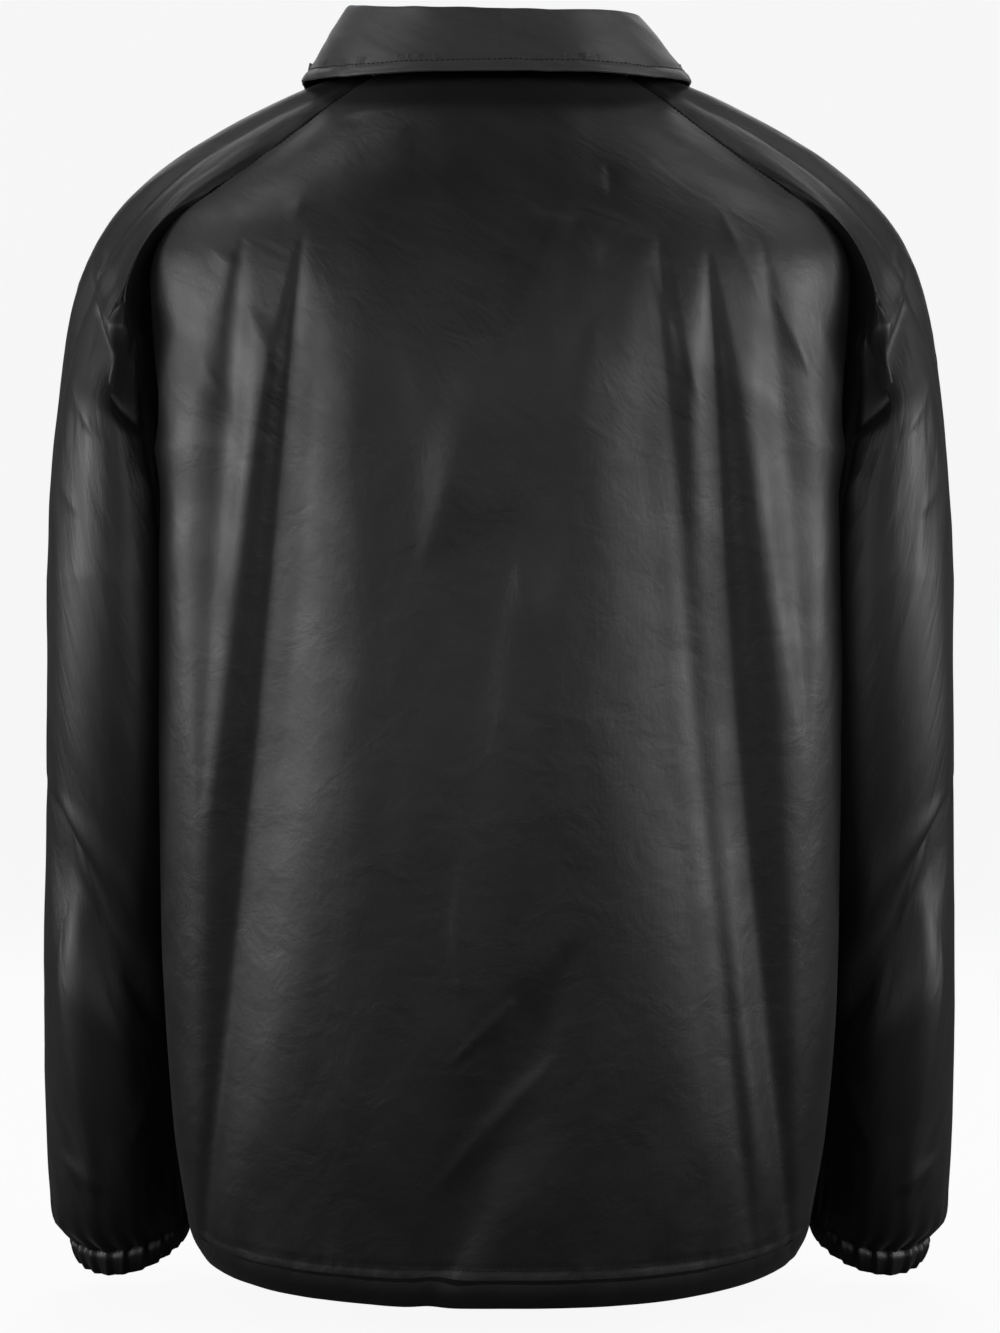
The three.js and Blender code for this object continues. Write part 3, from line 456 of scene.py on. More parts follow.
def noise(places, seed):
    """Smooth noise from -1 to 1 with lumps about one unit across; places is (..., 2)."""
    cell = np.floor(places).astype(np.int64)
    t = places - cell
    t = t**3 * (t * (6 * t - 15) + 10)

    def corner(i, j):
        mixed = (cell[..., 0] + i) * 374761393 + (cell[..., 1] + j) * 668265263 + seed * 974711
        mixed = (mixed ^ (mixed >> 13)) * 1274126177 & 0xFFFFFFFF
        return ((mixed ^ (mixed >> 16)) & 0xFFFF) / 32767.5 - 1

    low = corner(0, 0) * (1 - t[..., 0]) + corner(1, 0) * t[..., 0]
    high = corner(0, 1) * (1 - t[..., 0]) + corner(1, 1) * t[..., 0]
    return low * (1 - t[..., 1]) + high * t[..., 1]


def fold_heights(folds, x, z, high, sharp=2.0):
    """The sum of what folds add at points, by their distance from each fold's curve."""
    total = np.zeros(x.shape)
    t = np.linspace(0, 1, FOLD_STEPS + 1)[:, None]
    for i, top in enumerate(high):
        if top == 0:
            continue
        ends = [np.array([folds["x%d" % k][i], folds["z%d" % k][i]]) for k in range(3)]
        line = (1 - t) ** 2 * ends[0] + 2 * t * (1 - t) * ends[1] + t**2 * ends[2]
        left, right = folds["left"][i], folds["right"][i]
        reach = FOLD_REACH * max(left, right)
        low, up = line.min(0) - reach, line.max(0) + reach
        near = (x > low[0]) & (x < up[0]) & (z > low[1]) & (z < up[1])
        place = np.stack([x[near], z[near]], -1)
        best = np.full(len(place), np.inf)
        across, along = np.zeros(len(place)), np.zeros(len(place))
        for k in range(FOLD_STEPS):
            step = line[k + 1] - line[k]
            share = np.clip((place - line[k]) @ step / (step @ step), 0, 1)
            gap = place - line[k] - share[:, None] * step
            far = np.hypot(gap[:, 0], gap[:, 1])
            closer = far < best
            best = np.where(closer, far, best)
            across = np.where(closer, gap[:, 0], across)
            along = np.where(closer, (k + share) / FOLD_STEPS, along)
        wide = right + (left - right) * smoothstep(across, -FOLD_BLEND * right, FOLD_BLEND * left)
        rise = np.sin(np.pi * along) ** FOLD_TAPER
        wide = wide * (FOLD_SLIM + (1 - FOLD_SLIM) * rise)
        total[near] += top * rise * np.exp(-((best / wide) ** sharp))
    return total


def lengths(points, axis):
    """Distance along the grid lines from their start, in millimetres."""
    steps = np.linalg.norm(np.diff(points, axis=axis), axis=-1)
    shape = list(steps.shape)
    shape[axis] = 1
    return np.concatenate([np.zeros(shape), np.cumsum(steps, axis=axis)], axis=axis)


def from_edges(points):
    """Distance of each point from the first row, last row, first column and last column."""
    down, across = lengths(points, 0), lengths(points, 1)
    return down, down[-1:] - down, across, across[:, -1:] - across


def puckers(along, away, wave, depth, reach, seed):
    """Small ripples square to a seam, dying out away from it."""
    places = np.stack([along / wave, np.full(along.shape, seed + 0.5)], -1)
    fine = np.stack([along / (wave * 0.45), np.full(along.shape, seed + 7.5)], -1)
    return depth * np.exp(-away / reach) * (noise(places, seed) + 0.5 * noise(fine, seed + 1))


def crumple(u, v, seed, depth, size, stretch=1.6):
    """Shallow uneven wrinkling all over the cloth."""
    total = 0
    for octave, share in enumerate((1.0, 0.5, 0.28)):
        scale = size / 2**octave
        places = np.stack([u / scale, v / (scale * stretch)], -1)
        total = total + share * noise(places + 13.7 * octave, seed + octave)
    return depth * total


def bell(away, height, width):
    """A soft rise round a line, by the distance from it."""
    return height * np.exp(-((away / width) ** 2))


def facing_share(normals):
    return smoothstep(np.abs(normals[..., 1]), FOLDS_NONE_AT, FOLDS_FULL_AT)


def turned(points, normals, profile, where, replace_edge):
    """Adds lines to a grid beyond one edge; profile gives how far out and how far in each lies."""
    swap = where in ("start", "end")
    p = points.swapaxes(0, 1) if swap else points
    n = normals.swapaxes(0, 1) if swap else normals
    if where in ("first", "start"):
        p, n = p[::-1], n[::-1]
    edge, normal = p[-1], n[-1]
    tangent = np.gradient(edge, axis=0)
    out = np.cross(tangent, normal)
    out /= np.maximum(np.linalg.norm(out, axis=1, keepdims=True), 1e-9)
    away = edge - p[-3]
    out *= np.where((out * away).sum(1, keepdims=True) < 0, -1, 1)
    lines = [edge + out * o - normal * i for o, i in profile]
    kept = p[:-1] if replace_edge else p
    p = np.concatenate([kept, np.stack(lines)])
    n = np.concatenate([n[:len(kept)], np.repeat(normal[None], len(lines), 0)])
    if where in ("first", "start"):
        p, n = p[::-1], n[::-1]
    return (p.swapaxes(0, 1), n.swapaxes(0, 1)) if swap else (p, n)


def rolled_edge(radius, back):
    """Profile of an edge turned in over a radius and led back inside."""
    angles = np.radians([35, 70, 105, 140, 180])
    roll = [(radius * math.sin(a), radius * (1 - math.cos(a))) for a in angles]
    return tuple(roll) + tuple((-back * s, 2 * radius) for s in (0.15, 0.5, 1))


def build_mesh(name, points, flip, material, wrap=False):
    """A smooth mesh from a grid in millimetres, with UVs in metres of cloth."""
    rows, columns = points.shape[:2]
    index = np.arange(rows * columns).reshape(rows, columns)
    quads = np.stack([index[:-1, :-1], index[:-1, 1:], index[1:, 1:], index[1:, :-1]], -1)
    quads = quads.reshape(-1, 4)
    if wrap:
        around = np.stack([index[:-1, -1], index[:-1, 0], index[1:, 0], index[1:, -1]], -1)
        quads = np.concatenate([quads, around])
    if flip:
        quads = quads[:, ::-1]
    mesh = bpy.data.meshes.new(name)
    mesh.vertices.add(rows * columns)
    mesh.vertices.foreach_set("co", (points.reshape(-1, 3) * MM).astype(np.float32).ravel())
    mesh.loops.add(quads.size)
    mesh.loops.foreach_set("vertex_index", quads.astype(np.int32).ravel())
    mesh.polygons.add(len(quads))
    mesh.polygons.foreach_set("loop_start", np.arange(0, quads.size, 4, dtype=np.int32))
    mesh.polygons.foreach_set("use_smooth", np.ones(len(quads), bool))
    uv = np.stack([lengths(points, 1), lengths(points, 0)], -1).reshape(-1, 2) * MM
    layer = mesh.uv_layers.new(name="cloth")
    layer.data.foreach_set("uv", uv[quads.ravel()].astype(np.float32).ravel())
    mesh.update()
    mesh.validate()
    mesh.materials.append(material)
    obj = bpy.data.objects.new(name, mesh)
    bpy.context.scene.collection.objects.link(obj)
    return obj


def sample(points, rows, columns):
    """Points of a grid at places between its rows and columns."""
    r = np.clip(rows, 0, points.shape[0] - 1.001)
    c = np.clip(columns, 0, points.shape[1] - 1.001)
    i, j = r.astype(int), c.astype(int)
    a, b = (r - i)[:, None], (c - j)[:, None]
    low = points[i, j] * (1 - b) + points[i, j + 1] * b
    high = points[i + 1, j] * (1 - b) + points[i + 1, j + 1] * b
    return low * (1 - a) + high * a


def evenly(line, normals, pitch):
    """Places, directions and normals at an even pitch along a line of points."""
    at = np.r_[0, np.cumsum(np.linalg.norm(np.diff(line, axis=0), axis=1))]
    stops = np.arange(pitch / 2, at[-1], pitch)
    place = np.stack([np.interp(stops, at, line[:, k]) for k in range(3)], 1)
    ahead = np.stack([np.interp(stops + 0.5, at, line[:, k]) for k in range(3)], 1)
    behind = np.stack([np.interp(stops - 0.5, at, line[:, k]) for k in range(3)], 1)
    along = ahead - behind
    along /= np.maximum(np.linalg.norm(along, axis=1, keepdims=True), 1e-9)
    up = np.stack([np.interp(stops, at, normals[:, k]) for k in range(3)], 1)
    up -= along * (up * along).sum(1, keepdims=True)
    up /= np.maximum(np.linalg.norm(up, axis=1, keepdims=True), 1e-9)
    return place, along, up


def stitches(name, lines, material):
    """One piece of thread for each stitch along lines of (points, normals)."""
    ring = np.radians(np.arange(0, 360, 60))
    shape = np.array([[s * STITCH_LONG, w * STITCH_WIDE / 2 * math.cos(a),
                       (w * math.sin(a) + lift) * STITCH_HIGH]
                      for s, w, lift in STITCH_STATIONS for a in ring])
    quads = [[6 * k + i, 6 * k + (i + 1) % 6, 6 * k + 6 + (i + 1) % 6, 6 * k + 6 + i]
             for k in range(4) for i in range(6)]
    points, faces = [], []
    for line, normals in lines:
        place, along, up = evenly(line, normals, STITCH_PITCH)
        side = np.cross(up, along)
        for p, a, s, u in zip(place, along, side, up):
            faces += [[v + len(points) * len(shape) for v in q] for q in quads]
            points.append(p + shape[:, :1] * a + shape[:, 1:2] * s + shape[:, 2:] * u)
    mesh = bpy.data.meshes.new(name)
    mesh.from_pydata((np.concatenate(points) * MM).tolist(), [], faces)
    mesh.polygons.foreach_set("use_smooth", np.ones(len(faces), bool))
    mesh.update()
    mesh.materials.append(material)
    obj = bpy.data.objects.new(name, mesh)
    bpy.context.scene.collection.objects.link(obj)
    return obj


class Nodes:
    """Short names for adding shader nodes to one material."""

    def __init__(self, name):
        self.material = bpy.data.materials.new(name)
        self.material.use_nodes = True
        self.tree = self.material.node_tree
        self.shader = self.tree.nodes["Principled BSDF"]

    def add(self, kind, inputs=(), **settings):
        node = self.tree.nodes.new(kind)
        for key, value in settings.items():
            setattr(node, key, value)
        for socket, value in dict(inputs).items():
            if isinstance(value, bpy.types.NodeSocket):
                self.tree.links.new(value, node.inputs[socket])
            else:
                node.inputs[socket].default_value = value
        return node

    def noise(self, vector, **inputs):
        """A noise's factor; the inputs' names have _ for a space."""
        kind = inputs.pop("kind", "FBM")
        named = {key.replace("_", " "): value for key, value in inputs.items()}
        return self.add("ShaderNodeTexNoise", {"Vector": vector, **named}, noise_type=kind).outputs["Fac"]

    def stretch(self, vector, scale, turn=0.0):
        """A vector turned about z and scaled."""
        inputs = {"Vector": vector, "Rotation": (0, 0, turn), "Scale": scale}
        return self.add("ShaderNodeMapping", inputs).outputs["Vector"]

    def bump(self, height, strength, distance, under=None):
        """A bump's normal, on top of another one if given."""
        inputs = {"Height": height, "Strength": strength, "Distance": distance}
        if under is not None:
            inputs["Normal"] = under
        return self.add("ShaderNodeBump", inputs).outputs["Normal"]

    def spread(self, value, low, high, to_low, to_high):
        """A value's range turned into another range."""
        inputs = {"Value": value, "From Min": low, "From Max": high, "To Min": to_low,
                  "To Max": to_high}
        return self.add("ShaderNodeMapRange", inputs).outputs["Result"]

    def link(self, output, socket):
        """Feeds an output into one of the shader's sockets."""
        self.tree.links.new(output, self.shader.inputs[socket])

    def fixed(self, **inputs):
        """Sets the shader's own sockets; their names have _ for a space."""
        for key, value in inputs.items():
            self.shader.inputs[key.replace("_", " ")].default_value = value


def satin_cloth(name, colour, roughness, crinkle):
    """Black satin nylon: fine weave, small crinkles, uneven sheen."""
    n = Nodes(name)
    uv = n.add("ShaderNodeUVMap", uv_map="cloth").outputs["UV"]
    warp = n.noise(n.stretch(uv, (2200, 160, 1)), Scale=1.0, Detail=2.0)
    weft = n.noise(n.stretch(uv, (140, 2600, 1)), Scale=1.0, Detail=2.0)
    weave = n.add("ShaderNodeMath", {0: warp, 1: weft}, operation="ADD").outputs["Value"]
    slubs = n.noise(n.stretch(uv, (420, 60, 1)), Scale=1.0, Detail=3.0)
    lumps = n.noise(uv, Scale=46.0, Detail=5.0, Roughness=0.55, Distortion=0.4)
    creases = n.noise(n.stretch(uv, (30, 9, 1), 0.6), Scale=1.0, Detail=3.0, Roughness=0.45,
                      Distortion=1.2, kind="RIDGED_MULTIFRACTAL")
    normal = n.bump(weave, 0.3, 0.00012)
    normal = n.bump(slubs, 0.35, 0.0002, normal)
    normal = n.bump(lumps, 0.5, 0.0014 * crinkle, normal)
    normal = n.bump(creases, 0.3, 0.0006 * crinkle, normal)
    patches = n.noise(uv, Scale=24.0, Detail=4.0)
    rough = n.spread(patches, 0.3, 0.7, roughness - 0.05, roughness + 0.06)
    tint = n.spread(weave, 0.6, 1.4, 0.7, 1.35)
    shade = n.add("ShaderNodeMix", {"Factor": 1.0, "A": (*colour, 1), "B": tint},
                  data_type="RGBA", blend_type="MULTIPLY")
    n.link(shade.outputs["Result"], "Base Color")
    n.link(rough, "Roughness")
    n.link(normal, "Normal")
    n.fixed(Specular_IOR_Level=0.5, Sheen_Weight=0.06, Sheen_Roughness=0.4)
    return n.material


def thread_material():
    """Dull twisted thread."""
    n = Nodes("thread")
    place = n.add("ShaderNodeTexCoord").outputs["Object"]
    n.link(n.bump(n.noise(place, Scale=2500.0, Detail=1.0), 0.4, 0.0001), "Normal")
    n.fixed(Base_Color=THREAD_COLOUR, Roughness=0.75, Specular_IOR_Level=0.25)
    return n.material


def cap_material():
    """Moulded black plastic with faint scuffs."""
    n = Nodes("snap_plastic")
    place = n.add("ShaderNodeTexCoord").outputs["Object"]
    scuffs = n.noise(place, Scale=700.0, Detail=4.0)
    n.link(n.spread(scuffs, 0.35, 0.65, 0.22, 0.38), "Roughness")
    n.fixed(Base_Color=CAP_COLOUR)
    return n.material


def collar_grid():
    """The collar from the neckline up, over its fold and down to its free edge."""
    shares = np.linspace(0, 1, 60)
    back = body_points(np.array([float(LAST_ROW)]), shares[None], BACK)[0]
    neck = sleeve_neck(np.linspace(0, 1, 30))
    end = share_for_x(np.array([float(LAST_ROW)]), FRONT, np.array([COLLAR_END_GAP]))[0, 0]
    front = body_points(np.array([float(LAST_ROW)]), np.linspace(1, end, 50)[None], FRONT)[0]
    seam = np.concatenate([back, neck[1:-1], front])
    at = np.r_[0, np.cumsum(np.linalg.norm(np.diff(seam, axis=0), axis=1))]
    stops = np.linspace(0, at[-1], 190)
    seam = np.stack([np.interp(stops, at, seam[:, k]) for k in range(3)], 1)
    share = stops / at[-1]
    halves = []
    for side in (RIGHT, LEFT):
        part = {name: read(COLLAR, "at", name, share) for name in COLLAR if name != "at"}
        mirror = side == RIGHT
        fold_x = part["fold_x"] * (COLLAR_RIGHT_FOLD if mirror else 1)
        edge_x = part["edge_x"] * (COLLAR_RIGHT_EDGE if mirror else 1)
        sag = COLLAR_RIGHT_SAG * np.sin(np.pi * share) ** 4 if mirror else 0
        fold = np.stack([fold_x, part["fold_y"], part["fold_z"] - sag], 1)
        edge = np.stack([edge_x, part["edge_y"], part["edge_z"]], 1)
        away = (edge - fold) * np.array([1, 1, 0])
        away /= np.linalg.norm(away, axis=1, keepdims=True)
        hub = fold - np.array([0, 0, COLLAR_FOLD_RADIUS])
        start = seam - away * COLLAR_CLOTH
        stand_top = hub - away * COLLAR_FOLD_RADIUS
        lines = [start + (stand_top - start) * s for s in np.linspace(0, 1, 16)[:-1]]
        for turn in math.pi - np.linspace(0, COLLAR_FOLD_TURN, 9):
            lines.append(hub + away * COLLAR_FOLD_RADIUS * math.cos(turn)
                         + np.array([0, 0, COLLAR_FOLD_RADIUS * math.sin(turn)]))
        fall_top = lines[-1]
        lines += [fall_top + (edge - fall_top) * s for s in np.linspace(0, 1, 25)[1:]]
        grid = np.stack(lines) * np.array([side, 1, 1])
        halves.append(grid)
    return np.concatenate([halves[0][:, ::-1], halves[1][:, 1:]], 1)


def shape_collar(points):
    """Soft unevenness, the puckered edge and the stitch line of the collar."""
    normals = normals_of(points, False)
    first, last, start, end = from_edges(points)
    along = lengths(points, 1)
    edge = np.minimum(last, np.minimum(start, end))
    high = crumple(along, first, 40, 0.7, 55, 0.6)
    from_stitch = last - COLLAR_STITCH_IN
    high = high + puckers(along, np.abs(from_stitch + COLLAR_FINE_IN), *COLLAR_FINE_PUCKERS, 51)
    high = high + puckers(along, np.abs(from_stitch), *COLLAR_WIDE_PUCKERS, 57)
    high = high - bell(edge - COLLAR_STITCH_IN, *COLLAR_GROOVE)
    high = high + bell(edge - COLLAR_BEAD_IN, *COLLAR_BEAD)
    return points + normals * (high * smoothstep(first, 0, 12))[..., None]


def hem_shape(points, normals, first, along, seed):
    """The casing: a groove at its stitch line, a puffed band below it and small puckers."""
    casing = first[CASING_ROWS * CASING_FINE].mean()
    from_stitch = first - casing
    high = bell(first - casing * 0.5, HEM_PUFF, casing * HEM_PUFF_SHARE)
    high = high - bell(from_stitch, *HEM_GROOVE)
    high = high + puckers(along, np.abs(from_stitch), *HEM_RIPPLE, seed)
    high = high + puckers(along, np.abs(from_stitch + HEM_FINE_BELOW), *HEM_FINE, seed + 5)
    high = high + puckers(along, np.abs(from_stitch - HEM_RIBS_ABOVE), *HEM_RIBS, seed + 9)
    return points + normals * high[..., None]


def body_panel(points, flip, facing, u, folds, creases, seed):
    """Folds, creases, seam puckers and the hem of the back or of a front."""
    normals = normals_of(points, flip)
    first, last, start, end = from_edges(points)
    along = lengths(points, 1) - (lengths(points, 1)[:, -1:] / 2 if facing == BACK else 0)
    x, z = points[..., 0], points[..., 2]
    fade = smoothstep(1 - np.abs(u), 0, FOLD_FADE) * facing_share(normals)
    high = fade * fold_heights(folds, x, z, folds["high"])
    high = high + fade * fold_heights(creases, x, z, creases["high"], 1.5)
    seamless = smoothstep(np.minimum(start, last), 0, SEAM_CALM)
    if facing == BACK:
        seamless = seamless * smoothstep(end, 0, SEAM_CALM)
    high = high + seamless * crumple(along, first, seed, 0.9, 70, 2.4)
    high = high + puckers(first, start, *SEAM_PUCKERS, seed + 11) * smoothstep(start, 0, 1)
    if facing == BACK:
        high = high + puckers(first, end, *SEAM_PUCKERS, seed + 12) * smoothstep(end, 0, 1)
    high = high + puckers(along, last, *END_PUCKERS, seed + 13) * smoothstep(last, 0, 1)
    points = points + normals * high[..., None]
    points = hem_shape(points, normals, first, along, seed + 20)
    return points, normals_of(points, flip)


def add_cloth(name, points, flip, material):
    """One piece of cloth from its grid: its mesh with its material, hung on the root body, with the solid
    of that name hidden.
    """
    obj = build_mesh(name + "_cloth", points, flip, materials[material])
    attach(obj, "root")
    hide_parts(name)


def build_back():
    points = back_grid()
    u = np.tile(np.linspace(-1, 1, points.shape[1]), (points.shape[0], 1))
    points, normals = body_panel(points, True, BACK, u, BACK_FOLDS, BACK_CREASES, 3)
    grids["back"] = (points, normals)
    p, n = turned(points, normals, SEAM_TURN, "start", True)
    p, n = turned(p, n, SEAM_TURN, "end", True)
    p, n = turned(p, n, SEAM_TURN, "last", True)
    p, n = turned(p, n, rolled_edge(HEM_RADIUS, EDGE_RETURN), "first", False)
    add_cloth("back", p, True, "shell")


def build_front(side, word):
    flip = side == LEFT
    points = front_grid(side)
    u = np.tile(1 - np.linspace(0, 1, points.shape[1]), (points.shape[0], 1))
    seed = 60 if side == LEFT else 80
    folded, normals = body_panel(points, flip, FRONT, u, FRONT_FOLDS, FRONT_CREASES, seed)
    near = smoothstep(np.abs(points[..., 0]), 4, 40)
    points = points + (folded - points) * np.maximum(near, 0.25)[..., None]
    normals = normals_of(points, flip)
    if side == RIGHT:
        sunk = smoothstep(points[..., 0], -(OVERLAP + UNDERLAP_RAMP), -OVERLAP)
        points = points - normals * (sunk * UNDERLAP_SINK)[..., None]
    grids["front_" + word] = (points, normals)
    p, n = turned(points, normals, SEAM_TURN, "start", True)
    p, n = turned(p, n, SEAM_TURN, "last", True)
    p, n = turned(p, n, rolled_edge(0.5, 10), "end", False)
    p, n = turned(p, n, rolled_edge(HEM_RADIUS, EDGE_RETURN), "first", False)
    add_cloth("front_" + word, p, flip, "shell")


def build_sleeve(side, word, facing, half):
    flip = side * facing < 0
    points = sleeve_grid(side, facing)
    normals = normals_of(points, flip)
    first, last, start, end = from_edges(points)
    x, z = np.abs(points[..., 0]), points[..., 2]
    rows = np.linspace(0, 1, points.shape[0])[:, None]
    fade = smoothstep(rows, 0, FOLD_FADE) * facing_share(normals)
    column = "high" if facing == BACK else "far"
    high = fade * fold_heights(SLEEVE_FOLDS, x, z, SLEEVE_FOLDS[column])
    high = high + fade * fold_heights(SLEEVE_CREASES, x, z, SLEEVE_CREASES[column], 1.5)
    seed = 100 + 10 * side + 5 * facing
    inner = np.minimum(np.minimum(start, end), first)
    along = lengths(points, 1)
    high = high + smoothstep(inner, 0, SEAM_CALM) * crumple(along, first, seed, 0.9, 60, 1.8)
    high = high + puckers(first, end, *SEAM_PUCKERS, seed + 1) * smoothstep(end, 0, 1)
    high = high + puckers(along, first, *END_PUCKERS, seed + 2) * smoothstep(first, 0, 1)
    turn = np.linspace(0, 1, points.shape[1])[None, :] * CUFF_GATHERS / 2
    gathers = np.sin(2 * np.pi * turn + 0.8 * noise(np.stack([turn, 0 * turn + seed], -1), seed))
    high = high + CUFF_GATHER_DEPTH * gathers * np.exp(-last / CUFF_GATHER_REACH)
    points = points + normals * high[..., None]
    normals = normals_of(points, flip)
    name = "sleeve_%s_%s" % (half, word)
    grids[name] = (points, normals)
    p, n = points, normals
    for where in ("start", "end", "first"):
        p, n = turned(p, n, SEAM_TURN, where, True)
    add_cloth(name, p, flip, "shell")


def build_cuff(side, word):
    steps = CUFF_GATHERS * 12
    turn = np.arange(steps) * 2 / steps
    around = np.where(turn < 1, turn, 2 - turn)
    back = arm_point(np.full(steps, float(CUFF_SEAM_Z)), around, BACK)
    front = arm_point(np.full(steps, float(CUFF_SEAM_Z)), around, FRONT)
    ring = np.where((turn < 1)[:, None], back, front)
    middle = np.array([ARM["x"][-1], ARM["y"][-1], ARM["z"][-1]])
    out = (ring - middle) * np.array([1, 1, 0])
    out /= np.linalg.norm(out, axis=1, keepdims=True)
    phase = turn * CUFF_GATHERS / 2
    uneven = noise(np.stack([phase, 0 * phase + side], -1), 170 + side)
    wave = np.sin(2 * np.pi * phase + 0.8 * uneven) + 0.35 * np.sin(4 * np.pi * phase + 2 * uneven)
    drops = np.linspace(CUFF["drop"][0], CUFF["drop"][-1], 14)
    grow = read(CUFF, "drop", "grow", drops)
    depth = CUFF_GATHER_DEPTH * (1 - 0.25 * np.sin(np.pi * drops / drops[-1]))
    rings = ring + out * (grow[:, None, None] + depth[:, None, None] * wave[:, None])
    rings = rings - np.array([0, 0, 1]) * drops[:, None, None]
    up = np.array([0, 0, 1])
    tucked = [rings[0] - out * o + up * d for o, d in CUFF_TUCK]
    inner = [rings[-1] - out * o + up * d for o, d in CUFF_TURN]
    rings = np.concatenate([np.stack(tucked), rings, np.stack(inner)])[::-1]
    rings = rings * np.array([side, 1, 1])
    name = "cuff_" + word
    closed = np.concatenate([rings, rings[:, :1]], 1)
    grids[name] = (closed, normals_of(closed, side == LEFT))
    add_cloth(name, closed, side == RIGHT, "cuff")


def build_collar():
    points = shape_collar(collar_grid())
    normals = normals_of(points, False)
    grids["collar"] = (points, normals)
    p, n = points, normals
    for where in ("start", "end", "last"):
        p, n = turned(p, n, rolled_edge(COLLAR_CLOTH / 2, 12), where, False)
    add_cloth("collar", p, False, "collar")


def grid_line(name, rows, columns, lift=STITCH_LIFT):
    """Points and normals along a line of a piece, lifted off its surface."""
    points, normals = grids[name]
    n = sample(normals, rows, columns)
    return sample(points, rows, columns) + n * lift, n


def build_stitches():
    """Rows of stitches: round the collar's edge, on the casing and beside the back's seams."""
    points, _ = grids["collar"]
    rows, columns = points.shape[:2]
    last = lengths(points, 0)[-1] - lengths(points, 0)
    inside = np.array([np.interp(-COLLAR_STITCH_IN, -last[:, c], np.arange(rows))
                       for c in range(columns)])
    span = np.linspace(4, columns - 5, 900)
    lines = [grid_line("collar", np.interp(span, np.arange(columns), inside), span)]
    for name in ("back", "front_left", "front_right"):
        rows, columns = grids[name][0].shape[:2]
        at = np.linspace(1, columns - 2, 1600)
        row = np.full(at.shape, float(CASING_ROWS * CASING_FINE))
        lines.append(grid_line(name, row, at, HEM_STITCH_LIFT))
        if name == "back":
            span = np.linspace(TORSO_ROWS * BACK_FINE[0] - 2, rows - 3, 900)
            for column in (2.0, columns - 3.0):
                lines.append(grid_line(name, span, np.full(span.shape, column)))
    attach(stitches("stitching", lines, materials["thread"]), "root")


def build_snaps():
    """The snap caps down the middle of the left front, each standing on the cloth."""
    points, normals = grids["front_left"]
    column = np.abs(points[points.shape[0] // 2, :, 0]).argmin()
    heights = points[:, column, 2]
    order = np.argsort(heights)
    angles = np.linspace(0, 2 * np.pi, 40, endpoint=False)
    for k, z in enumerate(SNAPS_Z):
        row = np.interp(z, heights[order], order.astype(float))
        seat = sample(points, np.array([row]), np.array([float(column)]))[0]
        up = Vector(sample(normals, np.array([row]), np.array([float(column)]))[0]).normalized()
        side = Vector((1, 0, 0)) - up * up.x
        side.normalize()
        third = np.array(up.cross(side))
        side, axis = np.array(side), np.array(up)
        circle = np.outer(np.cos(angles), side) + np.outer(np.sin(angles), third)
        rings = np.stack([seat + axis * h + circle * r for r, h in SNAP_PROFILE])
        obj = build_mesh("snap_cap_%d" % (k + 1), rings, True, materials["cap"], wrap=True)
        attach(obj, "root")
        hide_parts("snap_%d" % (k + 1))


def area_light(name, place, target, size, energy):
    """A soft white rectangle of light, aimed at a point."""
    light = bpy.data.lights.new(name, "AREA")
    light.shape = "RECTANGLE"
    light.size, light.size_y = size
    light.energy = energy
    obj = bpy.data.objects.new(name, light)
    obj.location = place
    obj.rotation_euler = (Vector(target) - Vector(place)).to_track_quat("-Z", "Y").to_euler()
    bpy.context.scene.collection.objects.link(obj)


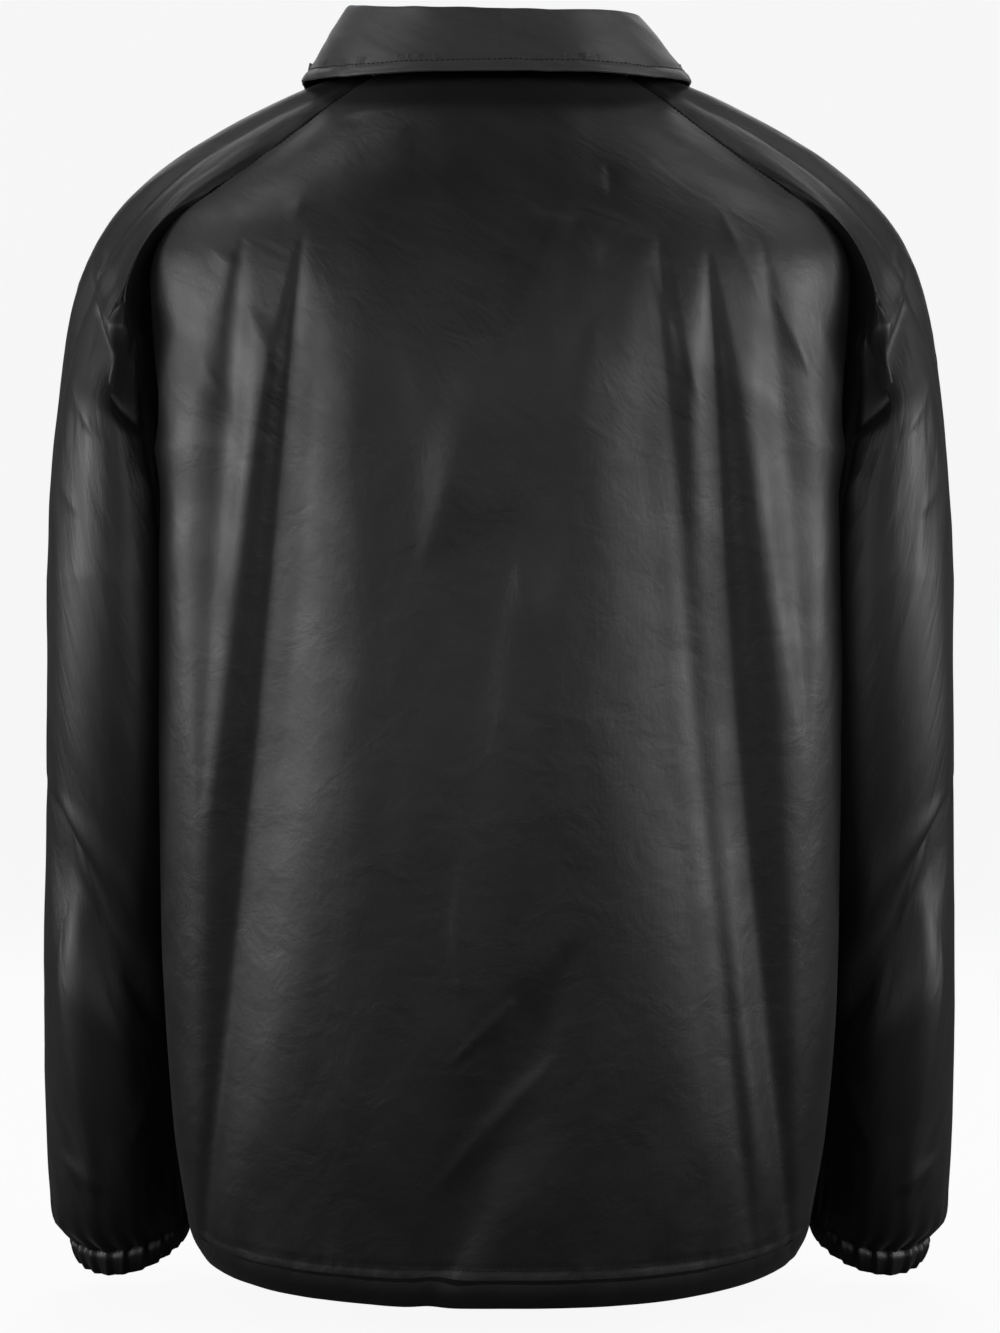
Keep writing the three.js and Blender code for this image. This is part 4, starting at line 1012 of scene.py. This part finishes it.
def build_stage():
    """A pale round floor that curves up into a wall, far out, so that every side can be seen."""
    turns = 48
    flat = STAGE_REACH - STAGE_CURVE
    profile = [(1.0, STAGE_Z), (flat, STAGE_Z)]
    profile += [(flat + STAGE_CURVE * math.sin(a), STAGE_Z + STAGE_CURVE * (1 - math.cos(a)))
                for a in np.radians(np.arange(10, 91, 10))]
    profile.append((STAGE_REACH, STAGE_TOP))
    angles = np.arange(turns) * 2 * math.pi / turns
    points = [(r * math.cos(a), r * math.sin(a), z) for r, z in profile for a in angles]
    faces = [(i * turns + k, i * turns + (k + 1) % turns,
              (i + 1) * turns + (k + 1) % turns, (i + 1) * turns + k)
             for i in range(len(profile) - 1) for k in range(turns)]
    faces.append(tuple(range(turns)))
    mesh = bpy.data.meshes.new("floor")
    mesh.from_pydata(points, [], faces)
    mesh.update()
    n = Nodes("pale_paper")
    grain = n.add("ShaderNodeTexCoord").outputs["Object"]
    tone = n.spread(n.noise(grain, Scale=40.0), 0.0, 1.0, 0.915, 0.925)
    n.link(tone, "Emission Strength")
    n.fixed(Emission_Color=(1, 1, 1, 1), Base_Color=(0.02, 0.02, 0.02, 1), Roughness=0.9)
    mesh.materials.append(n.material)
    floor = bpy.data.objects.new("floor", mesh)
    bpy.context.scene.collection.objects.link(floor)
    floor.visible_glossy = False
    floor.visible_diffuse = False


def build_lights():
    """The lights of both sides, the two in the middle and the room's own."""
    for side, word in ((LEFT, "left"), (RIGHT, "right")):
        for name, place, target, size, energy in SIDE_LIGHTS:
            place, target = ((side * x, y, z) for x, y, z in (place, target))
            area_light(name + word, place, target, size, energy)
    for name, place, target, size, energy in MIDDLE_LIGHTS:
        area_light(name, place, target, size, energy)
    world = bpy.data.worlds.new("studio")
    world.use_nodes = True
    world.node_tree.nodes["Background"].inputs["Color"].default_value = ROOM_LIGHT
    bpy.context.scene.world = world


def build_camera():
    """The camera, with the picture's height and scale at the jacket."""
    camera = bpy.data.cameras.new("camera")
    camera.sensor_width = SENSOR
    camera.lens = SENSOR * (CAMERA_AWAY / MM / PIXEL_MM) / PICTURE_HIGH
    obj = bpy.data.objects.new("camera", camera)
    obj.location = (0, CAMERA_AWAY, CAMERA_Z)
    obj.rotation_euler = (math.pi / 2, 0, math.pi)
    bpy.context.scene.collection.objects.link(obj)
    bpy.context.scene.camera = obj


materials = {
    "shell": satin_cloth("shell_cloth", BLACK_CLOTH, 0.48, 1.0),
    # the collar's lighter base colour is painted light on the same black cloth, not a paler cloth
    "collar": satin_cloth("collar_cloth", COLLAR_PAINTED_LIGHT_COLOUR, 0.5, 0.8),
    "cuff": satin_cloth("cuff_cloth", BLACK_CLOTH, 0.48, 1.2),
    "thread": thread_material(),
    "cap": cap_material(),
}
grids = {}  # points and normals of each piece, for what is sewn on it

build_back()
for side, word in ((LEFT, "left"), (RIGHT, "right")):
    build_front(side, word)
    build_sleeve(side, word, BACK, "back")
    build_sleeve(side, word, FRONT, "front")
    build_cuff(side, word)
build_collar()
build_stitches()
build_snaps()
build_stage()
build_lights()
build_camera()
bpy.context.scene.view_settings.view_transform = "Standard"
